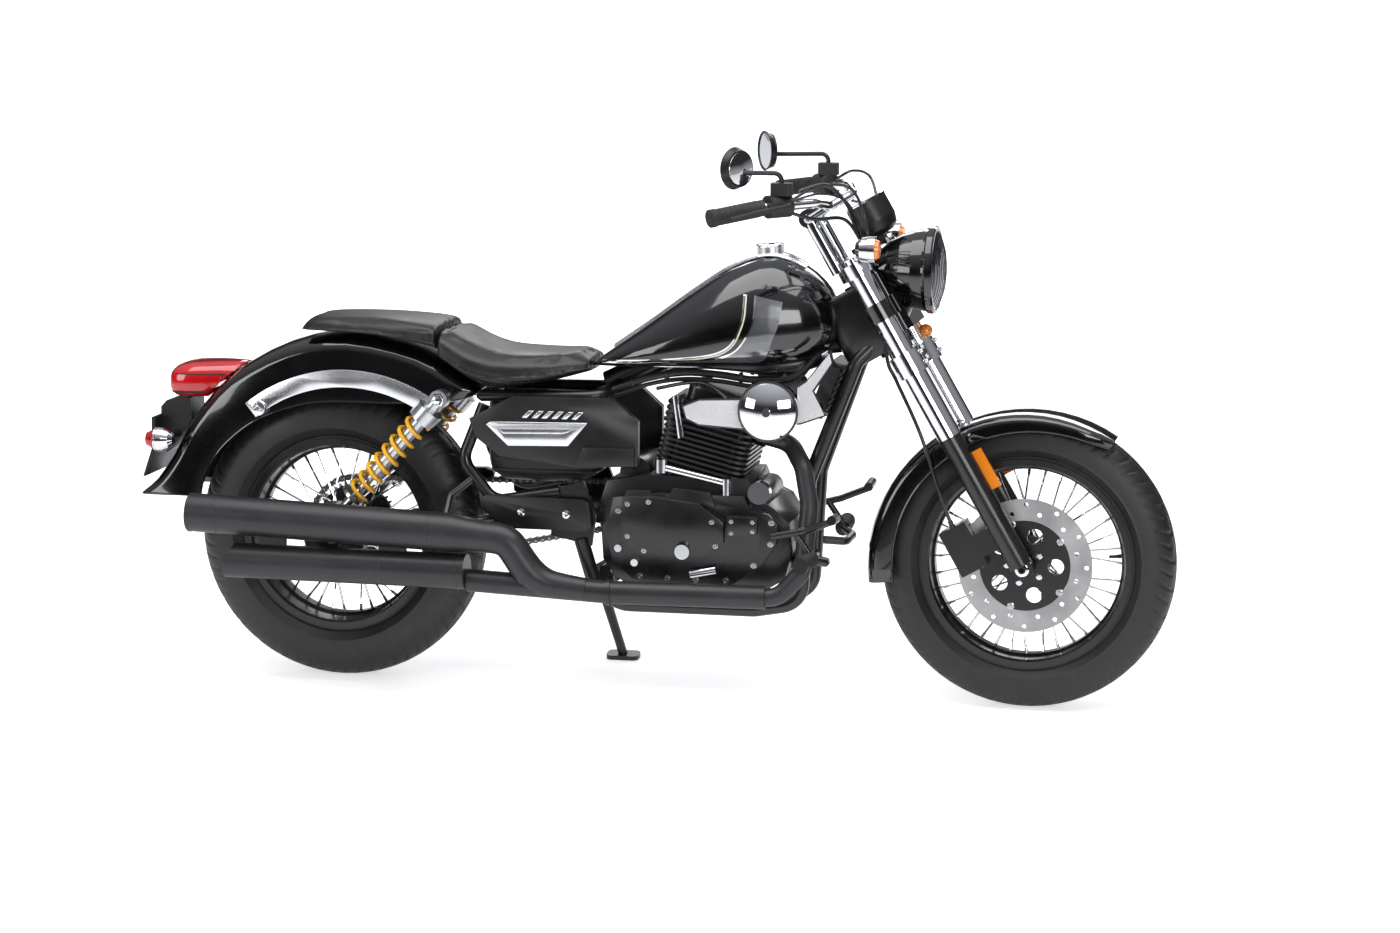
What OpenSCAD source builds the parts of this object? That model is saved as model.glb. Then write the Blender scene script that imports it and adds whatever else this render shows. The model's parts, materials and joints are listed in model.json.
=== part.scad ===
// Cruiser motorcycle standing parked on its side stand.
// X points forward, Y to the rider's left and Z up. Every piece is drawn on the upright machine with X = 0 at the
// rear axle, Y = 0 in the centre plane and Z = 0 on the ground, and parked() leans it over onto the stand.

/* [Wheels] */
// distance between the axles
wheelbase = 1520; // [1490:5:1550]
// radius of the front tyre
front_tyre_r = 315; // [309:1:319]
// width of the front tyre
front_tyre_w = 110; // [104:1:114]
// radius at which the front tyre sits on its rim
front_bead_r = 216; // [210:1:222]
// radius of the rear tyre
rear_tyre_r = 322; // [316:1:328]
// width of the rear tyre
rear_tyre_w = 150; // [140:1:154]
// radius at which the rear tyre sits on its rim
rear_bead_r = 203; // [198:1:210]
// number of spokes in each wheel
spokes = 36; // [28:4:40]
// thickness of one spoke
spoke_d = 4; // [3:0.5:5]
// radius of the front brake disc
disc_r = 143; // [135:1:148]
// thickness of the front brake disc
disc_t = 5; // [4:0.5:6]
// radius of both axles
axle_r = 8; // [7.5:0.5:10]

/* [Steering] */
// angle between the fork and the vertical
rake = 30; // [28:0.5:32]
// distance of each fork leg from the centre plane
fork_half = 100; // [96:1:104]
// thickness of the lower fork legs
fork_d = 50; // [44:1:54]
// distance of the steering stem behind the fork legs
stem_offset = 35; // [30:1:40]
// radius of the steering stem
stem_r = 15; // [12:1:18]
// thickness of the handlebar tube
bar_d = 22; // [20:1:25]
// distance from the centre plane to the end of each grip
bar_half = 380; // [360:5:400]

/* [Body] */
// width of the fuel tank
tank_w = 270; // [240:5:290]
// width of the rider seat
seat_w = 290; // [270:5:310]
// width of the rear fender
rear_fender_w = 196; // [190:2:204]
// width of the front fender
front_fender_w = 136; // [132:1:140]
// thickness of the fender sheet
sheet_t = 3; // [2:0.5:4]

/* [Engine] */
// number of cooling fins on the cylinder
cylinder_fins = 8; // [5:1:10]
// forward lean of the cylinder
cylinder_lean = 14; // [8:1:18]
// thickness of one cooling fin
fin_t = 5; // [3:0.5:7]
// thickness of the exhaust pipe
pipe_d = 50; // [42:1:54]
// thickness of the upper muffler
muffler_d = 84; // [76:1:90]

/* [Stand and suspension] */
// lean of the parked machine
lean = 7; // [7:7]
// turns of each rear spring
coil_turns = 8; // [6:1:10]
// thickness of the spring wire
coil_wire = 9; // [7:0.5:11]
// radius of the threaded holes in the fender struts
strut_hole_r = 4; // [3:0.5:5]
// radius of the two holes for a number plate
plate_hole_r = 3.5; // [2.5:0.5:5]
// distance between the two plate holes
plate_hole_gap = 140; // [120:5:160]
// radius of the socket in each end of the front axle
axle_socket_r = 5; // [4:0.5:5.5]

/* [Hidden] */
clearance = 0.05;
seat_gap = 0.3;
far = 1000;
$fn = 64;
// place of the leaned machine in the shared frame
origin_x = -690.5;
origin_y = -130.16;
origin_z = 0.87;
rear_axle = [0, 0, rear_tyre_r];
front_axle = [wheelbase, 0, front_tyre_r];
disc_y = -62;
chain_y = 90;
fork_r = fork_d / 2;
pipe_r = pipe_d / 2;
tank_half = tank_w / 2;
seat_half = seat_w / 2;
front_fender_r = front_tyre_r + 27;
rear_fender_half = rear_fender_w / 2;
rail_y = 92;
pivot_y = 116;
stand_pin_r = 7;
signal_w = 746;
// how far the handlebar, lamps and tail have moved with the wheels
steer_shift = [wheelbase - 1520, 0, front_tyre_r - 315];
fender_centre = [35, rear_tyre_r + 8];
fender_r = rear_tyre_r + 116;
tail_shift = [(fender_r - 438) * cos(127), 0, fender_centre[1] - 330 + (fender_r - 438) * sin(127)];

// Helpers

function unit(v) = v / norm(v);
function mirrored(p) = [p[0], -p[1], p[2]];

// Catmull-Rom value of a list of rows at position t, counted in rows
function between(rows, t) =
  let (n = len(rows) - 1, i = min(floor(t), n - 1), f = t - i, a = rows[max(i - 1, 0)], b = rows[i],
    c = rows[i + 1], d = rows[min(i + 2, n)])
  0.5 * ((2 * b) + (c - a) * f + (2 * a - 5 * b + 4 * c - d) * f * f + (3 * b - 3 * c + d - a) * f * f * f);

function reversed(rows) = [for (i = [len(rows) - 1:-1:0]) rows[i]];

function resampled(rows, steps) = [for (i = [0:steps]) between(rows, i * (len(rows) - 1) / steps)];

function power(v, e) = v == 0 ? 0 : sign(v) * pow(abs(v), e);

// leans the whole machine over onto its stand
module parked() {
  translate([origin_x, origin_y, origin_z]) rotate([-lean, 0, 0]) children();
}

// places a piece in the fork's own frame: X across it, Z up along it, zero at the front axle
module along_fork() {
  translate(front_axle) rotate([0, -rake, 0]) children();
}

module both_sides() {
  children();
  mirror([0, 1, 0]) children();
}

// straight round bar between two points
module rod(a, b, r, r2 = -1) {
  d = b - a;
  translate(a)
    rotate([0, acos(d[2] / norm(d)), atan2(d[1], d[0])])
      cylinder(h = norm(d), r1 = r, r2 = r2 < 0 ? r : r2);
}

// round tube through a list of points, bent at each corner with one radius
module tube(points, r, bend) {
  n = len(points);
  cut = [for (i = [0:n - 1])
    i == 0 || i == n - 1 ? 0 :
      bend * tan(acos(unit(points[i] - points[i - 1]) * unit(points[i + 1] - points[i])) / 2)];
  for (i = [0:n - 2]) {
    u = unit(points[i + 1] - points[i]);
    rod(points[i] + (i > 0 ? cut[i] - 1 : 0) * u, points[i + 1] - (i < n - 2 ? cut[i + 1] - 1 : 0) * u, r);
  }
  if (n > 2) {
    for (i = [1:n - 2]) {
      u = unit(points[i] - points[i - 1]);
      v = unit(points[i + 1] - points[i]);
      side = unit(v - (v * u) * u);
      across = cross(-side, u);
      centre = points[i] - cut[i] * u + bend * side;
      multmatrix([
        [-side[0], u[0], across[0], centre[0]],
        [-side[1], u[1], across[1], centre[1]],
        [-side[2], u[2], across[2], centre[2]],
        [0, 0, 0, 1]])
        rotate_extrude(angle = acos(u * v)) translate([bend, 0]) circle(r - 0.08);
    }
  }
}

// turns a profile of [radius, y] points about a wheel's axle
module turned_about(axle) {
  translate(axle) rotate([-90, 0, 0]) rotate_extrude($fn = 96) children();
}

// closed surface through a row of outlines that all have the same number of points; a folded outline is the
// outside of a thin sheet followed by its inside, run backwards
module skin(rings, folded = false) {
  n = len(rings);
  m = len(rings[0]);
  points = [for (ring = rings) for (p = ring) p];
  first = [for (i = [0:n - 2]) for (j = [0:m - 1]) [i * m + j, (i + 1) * m + (j + 1) % m, i * m + (j + 1) % m]];
  second = [for (i = [0:n - 2]) for (j = [0:m - 1]) [i * m + j, (i + 1) * m + j, (i + 1) * m + (j + 1) % m]];
  last = (n - 1) * m;
  ends = [[for (j = [0:m - 1]) j], [for (j = [m - 1:-1:0]) last + j]];
  strips = [for (j = [0:m / 2 - 2]) for (f = [[j, j + 1, m - 1 - j], [j + 1, m - 2 - j, m - 1 - j],
    [last + j + 1, last + j, last + m - 1 - j], [last + m - 2 - j, last + j + 1, last + m - 1 - j]]) f];
  polyhedron(points, concat(first, second, folded ? strips : ends));
}

// rounded outline across the machine at one x: row = [x, middle z, half width, rise, drop, power]
function loop_across(row, m) = [for (j = [0:m - 1])
  let (a = 360 * j / m, s = sin(a))
  [row[0], row[2] * power(cos(a), 2 / row[5]), row[1] + (s > 0 ? row[3] : row[4]) * power(s, 2 / row[5])]];

// plate drawn in side view as [x, z] points, standing from y0 towards y1
module side_plate(y0, y1) {
  translate([0, max(y0, y1), 0]) rotate([90, 0, 0]) linear_extrude(height = abs(y1 - y0)) children();
}

// outline with rounded corners, all from circles and squares
module rounded(w, h, r) {
  square([w - 2 * r, h], center = true);
  square([w, h - 2 * r], center = true);
  for (x = [-1, 1]) {
    for (y = [-1, 1]) {
      translate([x * (w / 2 - r), y * (h / 2 - r)]) circle(r);
    }
  }
}

// box with rounded upright corners
module block(w, d, h, r) {
  translate([0, 0, -h / 2]) linear_extrude(height = h) rounded(w, d, r);
}

// Frame

stand_pivot = [548, 122, 214];
stand_foot = [590, 185, 185 * tan(lean)];
stand_folded = [-0.98, 0.16, 0.05];
stand_axis = unit(cross(stand_foot - stand_pivot, stand_folded));

function stem_point(w) = front_axle + [-stem_offset * cos(rake) - w * sin(rake), 0,
  -stem_offset * sin(rake) + w * cos(rake)];

module frame_upper() {
  color([0.05, 0.05, 0.05]) {
    difference() {
      union() {
        along_fork() translate([-stem_offset, 0, 528]) cylinder(h = 168, r = 30);
        tube([stem_point(600), [900, 0, 812], [600, 0, 668]], 27, 120);
        tube([stem_point(556), [1070, 0, 762], [955, 0, 812]], 17, 60);
      }
      along_fork() translate([-stem_offset, 0, 500]) cylinder(h = 230, r = stem_r + clearance);
    }
    both_sides() {
      tube([[640, 0, 676], [600, rail_y, 650], [338, rail_y, 645]], 13, 40);
      rod([338, 40, 641], [316.4, 40, 644], 6);
    }
    rod([338, -rail_y, 645], [338, rail_y, 645], 11);
  }
}

module frame_cradle() {
  color([0.05, 0.05, 0.05]) {
    difference() {
      both_sides() {
        tube([stem_point(560) + [-14, 18, 0], [1150, 38, 735], [1056, 68, 484], [1040, 74, 215], [940, 80, 198],
          [650, rail_y, 200], [596, 112, 240], [566, 118, 345]], 16, 50);
      }
      along_fork() translate([-stem_offset, 0, 480]) cylinder(h = 240, r = 30 + seat_gap);
      rod(stem_point(556), [1070, 0, 762], 17 + seat_gap);
    }
    both_sides() {
      side_plate(pivot_y - 6, pivot_y + 6)
        polygon([[500, 350], [590, 330], [600, 400], [572, 470], [505, 450]]);
      tube([[520, pivot_y, 445], [372, pivot_y - 2, 418], [300, 108, 505], [345, rail_y, 626]], 13, 45);
      side_plate(96, 108) polygon([[598, 226], [650, 206], [634, 262], [622, 274], [606, 286]]);
    }
    rod([1045, -74, 300], [1045, 74, 300], 12);
    rod([616.1, -104, 273.7], [616.1, 104, 273.7], 12);
    side_plate(98, 108) polygon([[528, 192], [560, 192], [612, 222], [606, 262], [580, 268], [526, 236]]);
    rod(stand_pivot - 19 * stand_axis, stand_pivot + 15 * stand_axis, stand_pin_r);
    tube([[280, -176.1, 392.6], [280, -138, 430.7], [328, -112, 470]], 8, 16);
  }
}

module swingarm() {
  color([0.06, 0.06, 0.06]) {
    both_sides() {
      tube([[520, 62, 392], [430, 76, 384], [330, 116, 368], [0, 116, rear_tyre_r]], 15, 60);
      translate([0, 108, rear_tyre_r]) rotate([-90, 0, 0]) cylinder(h = 18, r = 27);
      side_plate(120, 130) translate([0, rear_tyre_r])
        polygon([[-18, 8], [60, 18], [48, 56], [22, 70], [-4, 58]]);
    }
    rod([540, -70, 392], [540, 70, 392], 22);
    rod([540, -pivot_y + 6 + seat_gap, 392], [540, pivot_y - 6 - seat_gap, 392], 10);
    rod([430, -70, 384], [430, 70, 384], 14);
    rod([0, -132, rear_tyre_r], [0, 132, rear_tyre_r], axle_r);
  }
}

module shock_bodies() {
  top = [257, 136, 640];
  foot = [22, 136, rear_tyre_r + 50];
  u = unit(top - foot);
  color([0.7, 0.7, 0.72]) both_sides() {
    rod(foot + 8 * u, foot + 30 * u, 5.6);
    rod(foot + 22 * u, foot + 150 * u, 9);
    rod(foot + 130 * u, top - 10 * u, 17);
    rod(foot + 62 * u, foot + 70 * u, 31);
    rod(top - 62 * u, top - 30 * u, 31);
    translate(top) rotate([-90, 0, 0]) translate([0, 0, -17.4]) cylinder(h = 30.4, r = 20);
    translate(foot) rotate([-90, 0, 0]) translate([0, 0, -5.7]) cylinder(h = 15, r = 15);
    rod(foot + 22.5 * u, foot + 62 * u, 13);
  }
}

module shock_springs() {
  top = [257, 136, 640];
  foot = [22, 136, rear_tyre_r + 50];
  u = unit(top - foot);
  span = norm(top - foot) - 62 - 70 - coil_wire - 2 * seat_gap;
  steps = coil_turns * 12;
  color([0.95, 0.62, 0.05]) both_sides() translate(foot + (70 + seat_gap + coil_wire / 2) * u)
    rotate([0, acos(u[2]), atan2(u[1], u[0])])
      skin([for (i = [0:steps]) let (a = 360 * coil_turns * i / steps, z = span * i / steps)
        [for (j = [0:7]) let (b = 45 * j, q = 24 + coil_wire / 2 * cos(b))
          [q * cos(a), q * sin(a), z + coil_wire / 2 * sin(b)]]]);
}

// Seats

module rider_seat() {
  rows = [[577.6, 716, 84, 22, 17, 3], [548, 712, 106, 27, 21, 3], [500, 704, 124, 32, 26, 3],
    [440, 700, seat_half - 6, 36, 34, 3], [370, 702, seat_half, 38, 46, 3], [310, 716, seat_half - 2, 44, 38, 3],
    [262, 742, seat_half - 10, 46, 30, 3.2], [246, 748, seat_half - 16, 44, 30, 3.4]];
  color([0.03, 0.03, 0.03]) skin([for (r = reversed(resampled(rows, 14))) loop_across(r, 32)]);
}

module pillion_seat() {
  rows = [[246 - seat_gap, 764, seat_half - 22, 30, 26, 3.2], [200, 768, seat_half - 22, 32, 18, 3.2],
    [100, 775, seat_half - 26, 30, 7, 3.2], [0, 778, seat_half - 36, 26, 7, 3.2],
    [-50, 778, seat_half - 46, 22, 7, 3], [-74, 776, seat_half - 60, 8, 6, 2.6]];
  color([0.03, 0.03, 0.03]) skin([for (r = reversed(resampled(rows, 14))) loop_across(r, 32)]);
}

// Tank

tank_rows = [[578, 716, 60, 6, 6, 2.4], [620, 726, 86, 26, 16, 2.4], [700, 742, 116, 66, 32, 2.3],
  [790, 762, tank_half - 5, 112, 50, 2.3], [880, 784, tank_half, 148, 72, 2.3],
  [960, 800, tank_half - 3, 158, 88, 2.3], [1030, 806, tank_half - 20, 130, 84, 2.3],
  [1080, 808, tank_half - 50, 88, 62, 2.2], [1104, 806, 54, 46, 36, 2]];

// height of the tank's top at a row and a distance from the centre plane
function tank_top(r, y) = r[1] + r[3] * pow(1 - pow(abs(y) / r[2], r[5]), 1 / r[5]);

module fuel_tank() {
  color([0.02, 0.02, 0.02]) difference() {
    skin([for (r = resampled(tank_rows, 20)) loop_across(r, 36)]);
    side_plate(-31, 31) polygon([[560, 600], [560, 684], [600, 702], [888, 841], [900, 843.5], [1140, 848],
      [1140, 600]]);
  }
}

module tank_console() {
  widths = [[12], [20], [26], [32], [34], [26]];
  rings = [for (i = [0:18]) let (r = between(tank_rows, 0.9 + 5.2 * i / 18), w = between(widths, 5 * i / 18)[0])
    concat(
      [for (j = [-6:6]) let (y = -w * j / 6)
        [r[0], y, tank_top(r, y) + 0.6 + 7 * (0.35 + 0.65 * sqrt(1 - pow(j / 6, 4)))]],
      [for (j = [6:-1:-6]) let (y = -w * j / 6) [r[0], y, tank_top(r, y) + 0.6]])];
  color([0.8, 0.8, 0.82]) {
    skin(rings);
    translate([955, 0, 961]) rotate([0, -4, 0]) cylinder(h = 16, r = 30);
  }
}

// Rear body

// one outline across a fender: row = [x, z, direction of the inside, half width, depth]
function fender_loop(row, t) =
  let (inside = [cos(row[2]), 0, sin(row[2])], h = row[3], d = row[4], crown = min(d * 0.5, 34),
    outer = concat([[h, d]], [for (i = [0:12]) let (a = 180 * i / 12)
      [h * power(cos(a), 0.8), crown * (1 - power(sin(a), 0.8))]], [[-h, d]]),
    inner = concat([[-h + t, d]], [for (i = [12:-1:0]) let (a = 180 * i / 12)
      [(h - t) * power(cos(a), 0.8), t + (crown - t) * (1 - power(sin(a), 0.8))]], [[h - t, d]]))
  [for (p = concat(outer, inner)) [row[0], 0, row[1]] + [0, p[0], 0] + p[1] * inside];

// one row of the rear fender's round part at an angle about its centre
function fender_row(a, h, d) =
  [fender_centre[0] + fender_r * cos(a), fender_centre[1] + fender_r * sin(a), a + 180, h, d];

module rear_fender() {
  h = rear_fender_half;
  low = fender_centre[1] - 330;
  rows = [fender_row(47.7, h - 22, 12), fender_row(52, h - 4, 56), fender_row(68, h - 2, 122),
    fender_row(90, h, 146), fender_row(109, h, 138), fender_row(129, h, 120), fender_row(145.8, h, 102),
    [-374, 494 + low, 335, h, 96], [-416, 434 + low, 348, h, 118], [-454, 400 + low, 360, h, 158]];
  color([0.02, 0.02, 0.02])
    skin([for (r = reversed(resampled(rows, 27))) fender_loop(r, sheet_t)], folded = true);
}

// side-view band between two radii and two angles about a centre
module band(centre, r1, r2, a1, a2) {
  translate(centre) intersection() {
    difference() {
      circle(r2, $fn = 128);
      circle(r1, $fn = 128);
    }
    polygon([[0, 0], [far * cos(a1), far * sin(a1)], [far * cos((a1 + a2) / 2), far * sin((a1 + a2) / 2)],
      [far * cos(a2), far * sin(a2)]]);
  }
}

module fender_struts() {
  h = rear_fender_half;
  color([0.8, 0.8, 0.82]) both_sides() {
    difference() {
      union() {
        side_plate(h + seat_gap, h + 6) {
          band(fender_centre, fender_r - 114, fender_r - 76, 56, 129);
          polygon([[243, 645], [262, 628], [238, 604], [219, 616]]);
        }
        translate([-160, h + seat_gap, 603]) rotate([-90, 0, 0]) cylinder(h = 18, r = 16);
      }
      translate([-160, h + 2, 603]) rotate([-90, 0, 0]) cylinder(h = 40, r = strut_hole_r);
    }
    translate([257, h + seat_gap, 640]) rotate([-90, 0, 0]) cylinder(h = 20, r = 15);
  }
}

module plate_bracket() {
  color([0.04, 0.04, 0.04]) translate(tail_shift) difference() {
    union() {
      side_plate(-46, 46) polygon([[-337, 562], [-340, 610.5], [-372, 611], [-395, 604], [-408, 590],
        [-408, 500], [-396, 488], [-384, 496]]);
      translate([-372, 0, 530]) rotate([90, 0, 0]) cylinder(h = 209.4, r = 9, center = true);
      side_plate(-92, 92) polygon([[-406, 572], [-414, 572], [-414, 505], [-436, 440], [-430, 440],
        [-406, 505]]);
    }
    for (y = [-plate_hole_gap / 2, plate_hole_gap / 2]) {
      translate([-430, y, 540]) rotate([0, 90, 0]) cylinder(h = 40, r = plate_hole_r);
    }
  }
}

module tail_lamp() {
  rows = [[-210, 652, 40, 40, 34, 3], [-250, 652, 62, 42, 36, 3], [-310, 651, 78, 42, 38, 3.4],
    [-350, 650, 80, 40, 38, 3.4], [-372, 648, 74, 34, 32, 3.2], [-380, 648, 60, 24, 22, 3]];
  color([0.6, 0.03, 0.03]) {
    difference() {
      translate(tail_shift) skin([for (r = reversed(resampled(rows, 8))) loop_across(r, 28)]);
      translate([fender_centre[0], 0, fender_centre[1]]) rotate([90, 0, 0])
        cylinder(h = 300, r = fender_r + 0.6, center = true, $fn = 160);
    }
    translate(tail_shift) {
      both_sides() translate([-388, 132, 530]) rotate([0, -90, 0]) cylinder(h = 22, r1 = 24, r2 = 14);
      translate([-414 - seat_gap, 0, 540]) rotate([0, -90, 0]) cylinder(h = 8, r = 17);
    }
  }
}

module rear_signals() {
  color([0.8, 0.8, 0.82]) translate(tail_shift) both_sides() translate([-388 + seat_gap, 132, 530])
    rotate([0, 90, 0])
      rotate_extrude() polygon([[0, 0], [25, 0], [27, 4], [26, 16], [20, 30], [11, 38], [0, 40]]);
}

module side_covers() {
  outline = [[322, 600], [420, 652], [640, 652], [694, 604], [694, 508], [560, 500], [470, 512], [390, 520],
    [336, 560]];
  color([0.03, 0.03, 0.03]) both_sides() {
    side_plate(112, 134) polygon(outline);
    side_plate(133, 142) polygon([[560, 506], [688, 510], [688, 546], [575, 546]]);
    for (x = [450, 600]) {
      translate([x, rail_y + 13 + seat_gap, 645]) rotate([-90, 0, 0]) cylinder(h = 8, r = 9);
    }
    side_plate(pivot_y + 13 + seat_gap, pivot_y + 23) polygon([[350, 430], [362, 436], [575, 432], [588, 425],
      [594, 372], [584, 364], [425, 364], [396, 372], [352, 402]]);
    for (x = [440, 540]) {
      translate([x, pivot_y + 22, 400]) rotate([-90, 0, 0]) cylinder(h = 6, r = 8);
    }
  }
}

module side_grilles() {
  color([0.8, 0.8, 0.82]) both_sides() {
    difference() {
      side_plate(134 + seat_gap, 144) polygon([[362, 590], [372, 596], [587, 600], [543, 548], [412, 544]]);
      side_plate(138, 150) polygon([[388, 582], [560, 586], [534, 576], [400, 572]]);
    }
    for (i = [0:5]) {
      side_plate(134 + seat_gap, 142) polygon([[440 + 22 * i, 606], [452 + 22 * i, 606], [468 + 22 * i, 622],
        [456 + 22 * i, 622]]);
    }
  }
}

// Engine

sprocket_front = [640, 392];
sprocket_rear = [0, rear_tyre_r];
wheel_sprocket_r = 92;
drive_sprocket_r = 34;

rear_run = wheel_sprocket_r + 12;
front_run = drive_sprocket_r + 12;
chain_links = 111;

module crankcase() {
  color([0.05, 0.05, 0.05]) difference() {
    union() {
      side_plate(-104, 104) polygon([[612, 300], [640, 262], [700, 240], [960, 240], [1010, 270], [1024, 330],
        [1018, 392], [985, 424], [950, 440], [930, 486], [700, 486], [620, 470], [604, 420]]);
      side_plate(-70, 70) polygon([[680, 241], [700, 222], [930, 222], [950, 241]]);
      side_plate(-40, 40) polygon([[1000, 280], [1032.7, 292], [1032.7, 308], [1016, 322]]);
      rod([676, -75, 486], [676, 75, 486], 34);
      rod([950, -103.9, 448], [950, 60, 448], 26);
    }
    side_plate(chain_y - 12, 120) {
      translate(sprocket_front) circle(60);
      translate(sprocket_front - [60, 60]) square([60, 120]);
    }
  }
}

module engine_covers() {
  color([0.06, 0.06, 0.06]) {
    side_plate(-104 - seat_gap, -132) polygon([[640, 300], [690, 258], [900, 258], [960, 300], [996, 350],
      [1000, 392], [980, 414], [938, 424], [926, 452], [740, 452], [640, 440], [624, 360]]);
    side_plate(-131, -150) polygon([[664, 445], [732, 445], [832, 434], [885, 397], [885, 352], [840, 320],
      [700, 320], [664, 352]]);
    side_plate(-131, -143) polygon([[666, 444], [674, 458], [722, 459], [732, 444]]);
    side_plate(-131, -142) polygon([[760, 441], [774, 466], [853, 459], [866, 430]]);
    side_plate(-131, -148) polygon([[893, 365], [893, 410], [959, 410], [957, 373]]);
    side_plate(104 + seat_gap, 130) polygon([[660, 300], [700, 262], [900, 262], [960, 300], [1000, 350],
      [1004, 392], [985, 424], [950, 440], [900, 455], [760, 460], [720, 440], [712, 330]]);
    translate([880, 129, 360]) rotate([-90, 0, 0]) cylinder(h = 19, r = 84);
    translate([880, 147, 360]) rotate([-90, 0, 0]) cylinder(h = 7, r = 22);
  }
}

// bright parts on the right side of the engine
module engine_trim() {
  color([0.8, 0.8, 0.82]) {
    rod([744, -124, 508], [886, -124, 478], 8);
    rod([886, -124, 487], [886, -124, 452.3], 9.5);
    translate([744, -124, 496]) cylinder(h = 29, r = 13);
    translate([957, -104 - seat_gap, 459]) rotate([90, 0, 0]) cylinder(h = 24, r = 24);
    translate([798, -150 - seat_gap, 332]) rotate([90, 0, 0]) cylinder(h = 14, r = 16);
    rod([812, -141.3, 281], [868, -141.3, 293], 9);
    rod([774, -120.3, 662], [786, -120.3, 572], 8);
    for (p = [[652, 330], [688, 300]]) {
      translate([p[0], -132 - seat_gap, p[1]]) rotate([90, 0, 0]) cylinder(h = 6, r = 8);
    }
  }
}

function cyl_point(x, y, z) = [812 + x * cos(cylinder_lean) + z * sin(cylinder_lean), y,
  470 - x * sin(cylinder_lean) + z * cos(cylinder_lean)];

module on_cylinder() {
  translate([812, 0, 470]) rotate([0, cylinder_lean, 0]) children();
}

module engine_cylinder() {
  pitch = 92 / cylinder_fins;
  color([0.07, 0.07, 0.07]) difference() {
    on_cylinder() {
      translate([0, 0, 55]) block(150, 172, 110, 20);
      for (i = [0:cylinder_fins - 1]) {
        translate([0, 0, 20 + pitch * (i + 0.4)]) block(196, 216, fin_t, 26);
      }
    }
    translate([612, -150, 380]) cube([400, 300, 106 + seat_gap]);
  }
}

module cylinder_head() {
  color([0.07, 0.07, 0.07]) on_cylinder() {
    translate([0, 0, 110 + seat_gap + 30]) block(168, 190, 60, 20);
    for (i = [0:3]) {
      translate([0, 0, 110 + seat_gap + 8 + 13 * i]) block(204, 224, fin_t, 26);
    }
    translate([0, 0, 110 + seat_gap + 73]) block(140, 168, 30, 24);
    translate([92, -52, 134]) rotate([0, 90, 0]) cylinder(h = 30, r = 24);
  }
}

module air_cleaner() {
  color([0.8, 0.8, 0.82]) {
    translate([982, 0, 640]) rotate([90, 0, 0]) {
      translate([0, 0, 132]) cylinder(h = 20, r = 60);
      translate([0, 0, 150]) cylinder(h = 10, r = 65);
      translate([0, 0, 160]) rotate_extrude() intersection() {
        translate([0, -92]) circle(112, $fn = 128);
        translate([0, -1]) square([60, 41]);
      }
      translate([0, 0, 178]) cylinder(h = 5, r = 9);
      translate([0, 0, 60]) cylinder(h = 74, r = 30);
    }
    side_plate(-128, -142) polygon([[792, 644], [830, 660], [940, 664], [940, 596], [828, 602], [800, 618]]);
    rod([850, -112.3, 622], [850, -129.3, 622], 12);
    side_plate(-128, -142) polygon([[1020, 690], [1060, 706], [1112, 772], [1118, 744], [1076, 682],
      [1104, 632], [1050, 612], [1010, 606]]);
  }
}

module radiator() {
  color([0.04, 0.04, 0.04]) translate([1088.7, 0, 676]) rotate([0, 20.5, 0]) {
    cube([30, 168, 116], center = true);
    for (i = [0:6]) {
      translate([15, 0, -48 + 16 * i]) cube([6, 152, 4], center = true);
    }
  }
}

module exhaust_pipes() {
  header_r = pipe_r * 0.78;
  color([0.04, 0.04, 0.04]) {
    tube([cyl_point(122 + seat_gap, -52, 134), cyl_point(172, -52, 134), [1050, -110, 516], [1070, -142, 440],
      [1060, -168, 300], [1010, -186, 246], [960, -187.2, 246]], header_r, 50);
    rod([985, -186.6, 245.9], [650, -194.7, 244.2], pipe_r);
    rod([651, -194.7, 244.2], [640, -195, 244.2], pipe_r + 3);
    rod([641, -194.9, 244.4], [336.6, -200.5, 259], pipe_r - 0.5);
  }
}

module mufflers() {
  m = muffler_d / 2;
  lower = m - 4;
  color([0.05, 0.05, 0.05]) {
    difference() {
      rod([335, -206, 278], [-205, -206, 282], lower);
      rod([-80, -206, 282], [-300, -206, 282], lower - 3);
      translate([-205, -206, 282]) rotate([0, 28, 0]) translate([-100, 0, 0])
        cube([200, 200, 200], center = true);
    }
    difference() {
      rod([300, -206, 362], [-288, -206, 384], m);
      rod([-230, -206, 382], [-300, -206, 385], m - 4);
    }
    difference() {
      union() {
        rod([298, -206, 362], [372, -206, 356], m - 0.1, m - 8);
        tube([[366, -206, 356], [424, -206, 352], [478, -202, 272]], m - 8.5, 46);
      }
      rod([660, -194.6, 243.5], [330, -200.6, 259.3], pipe_r + seat_gap);
    }
    side_plate(-212, -200) {
      polygon([[140, 312], [200, 312], [200, 330], [140, 330]]);
      polygon([[-130, 317.5], [-70, 317.5], [-70, 342], [-130, 342]]);
    }
  }
}

module foot_controls() {
  color([0.05, 0.05, 0.05]) both_sides() {
    tube([[1048, 88, 322], [1050, 112, 322], [1104, 124, 318], [1110, 176, 324], [1086, 198, 334]], 9, 12);
    rod([1084, 196, 334], [1078, 292, 336], 17);
    rod([1086, 200, 340], [1050, 204, 391], 7);
    tube([[1000, 200, 380], [1076, 212, 398], [1136, 220, 422]], 7.5, 24);
    rod([1138, 208, 426], [1138, 262, 430], 10);
  }
}

// Chain

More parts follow.
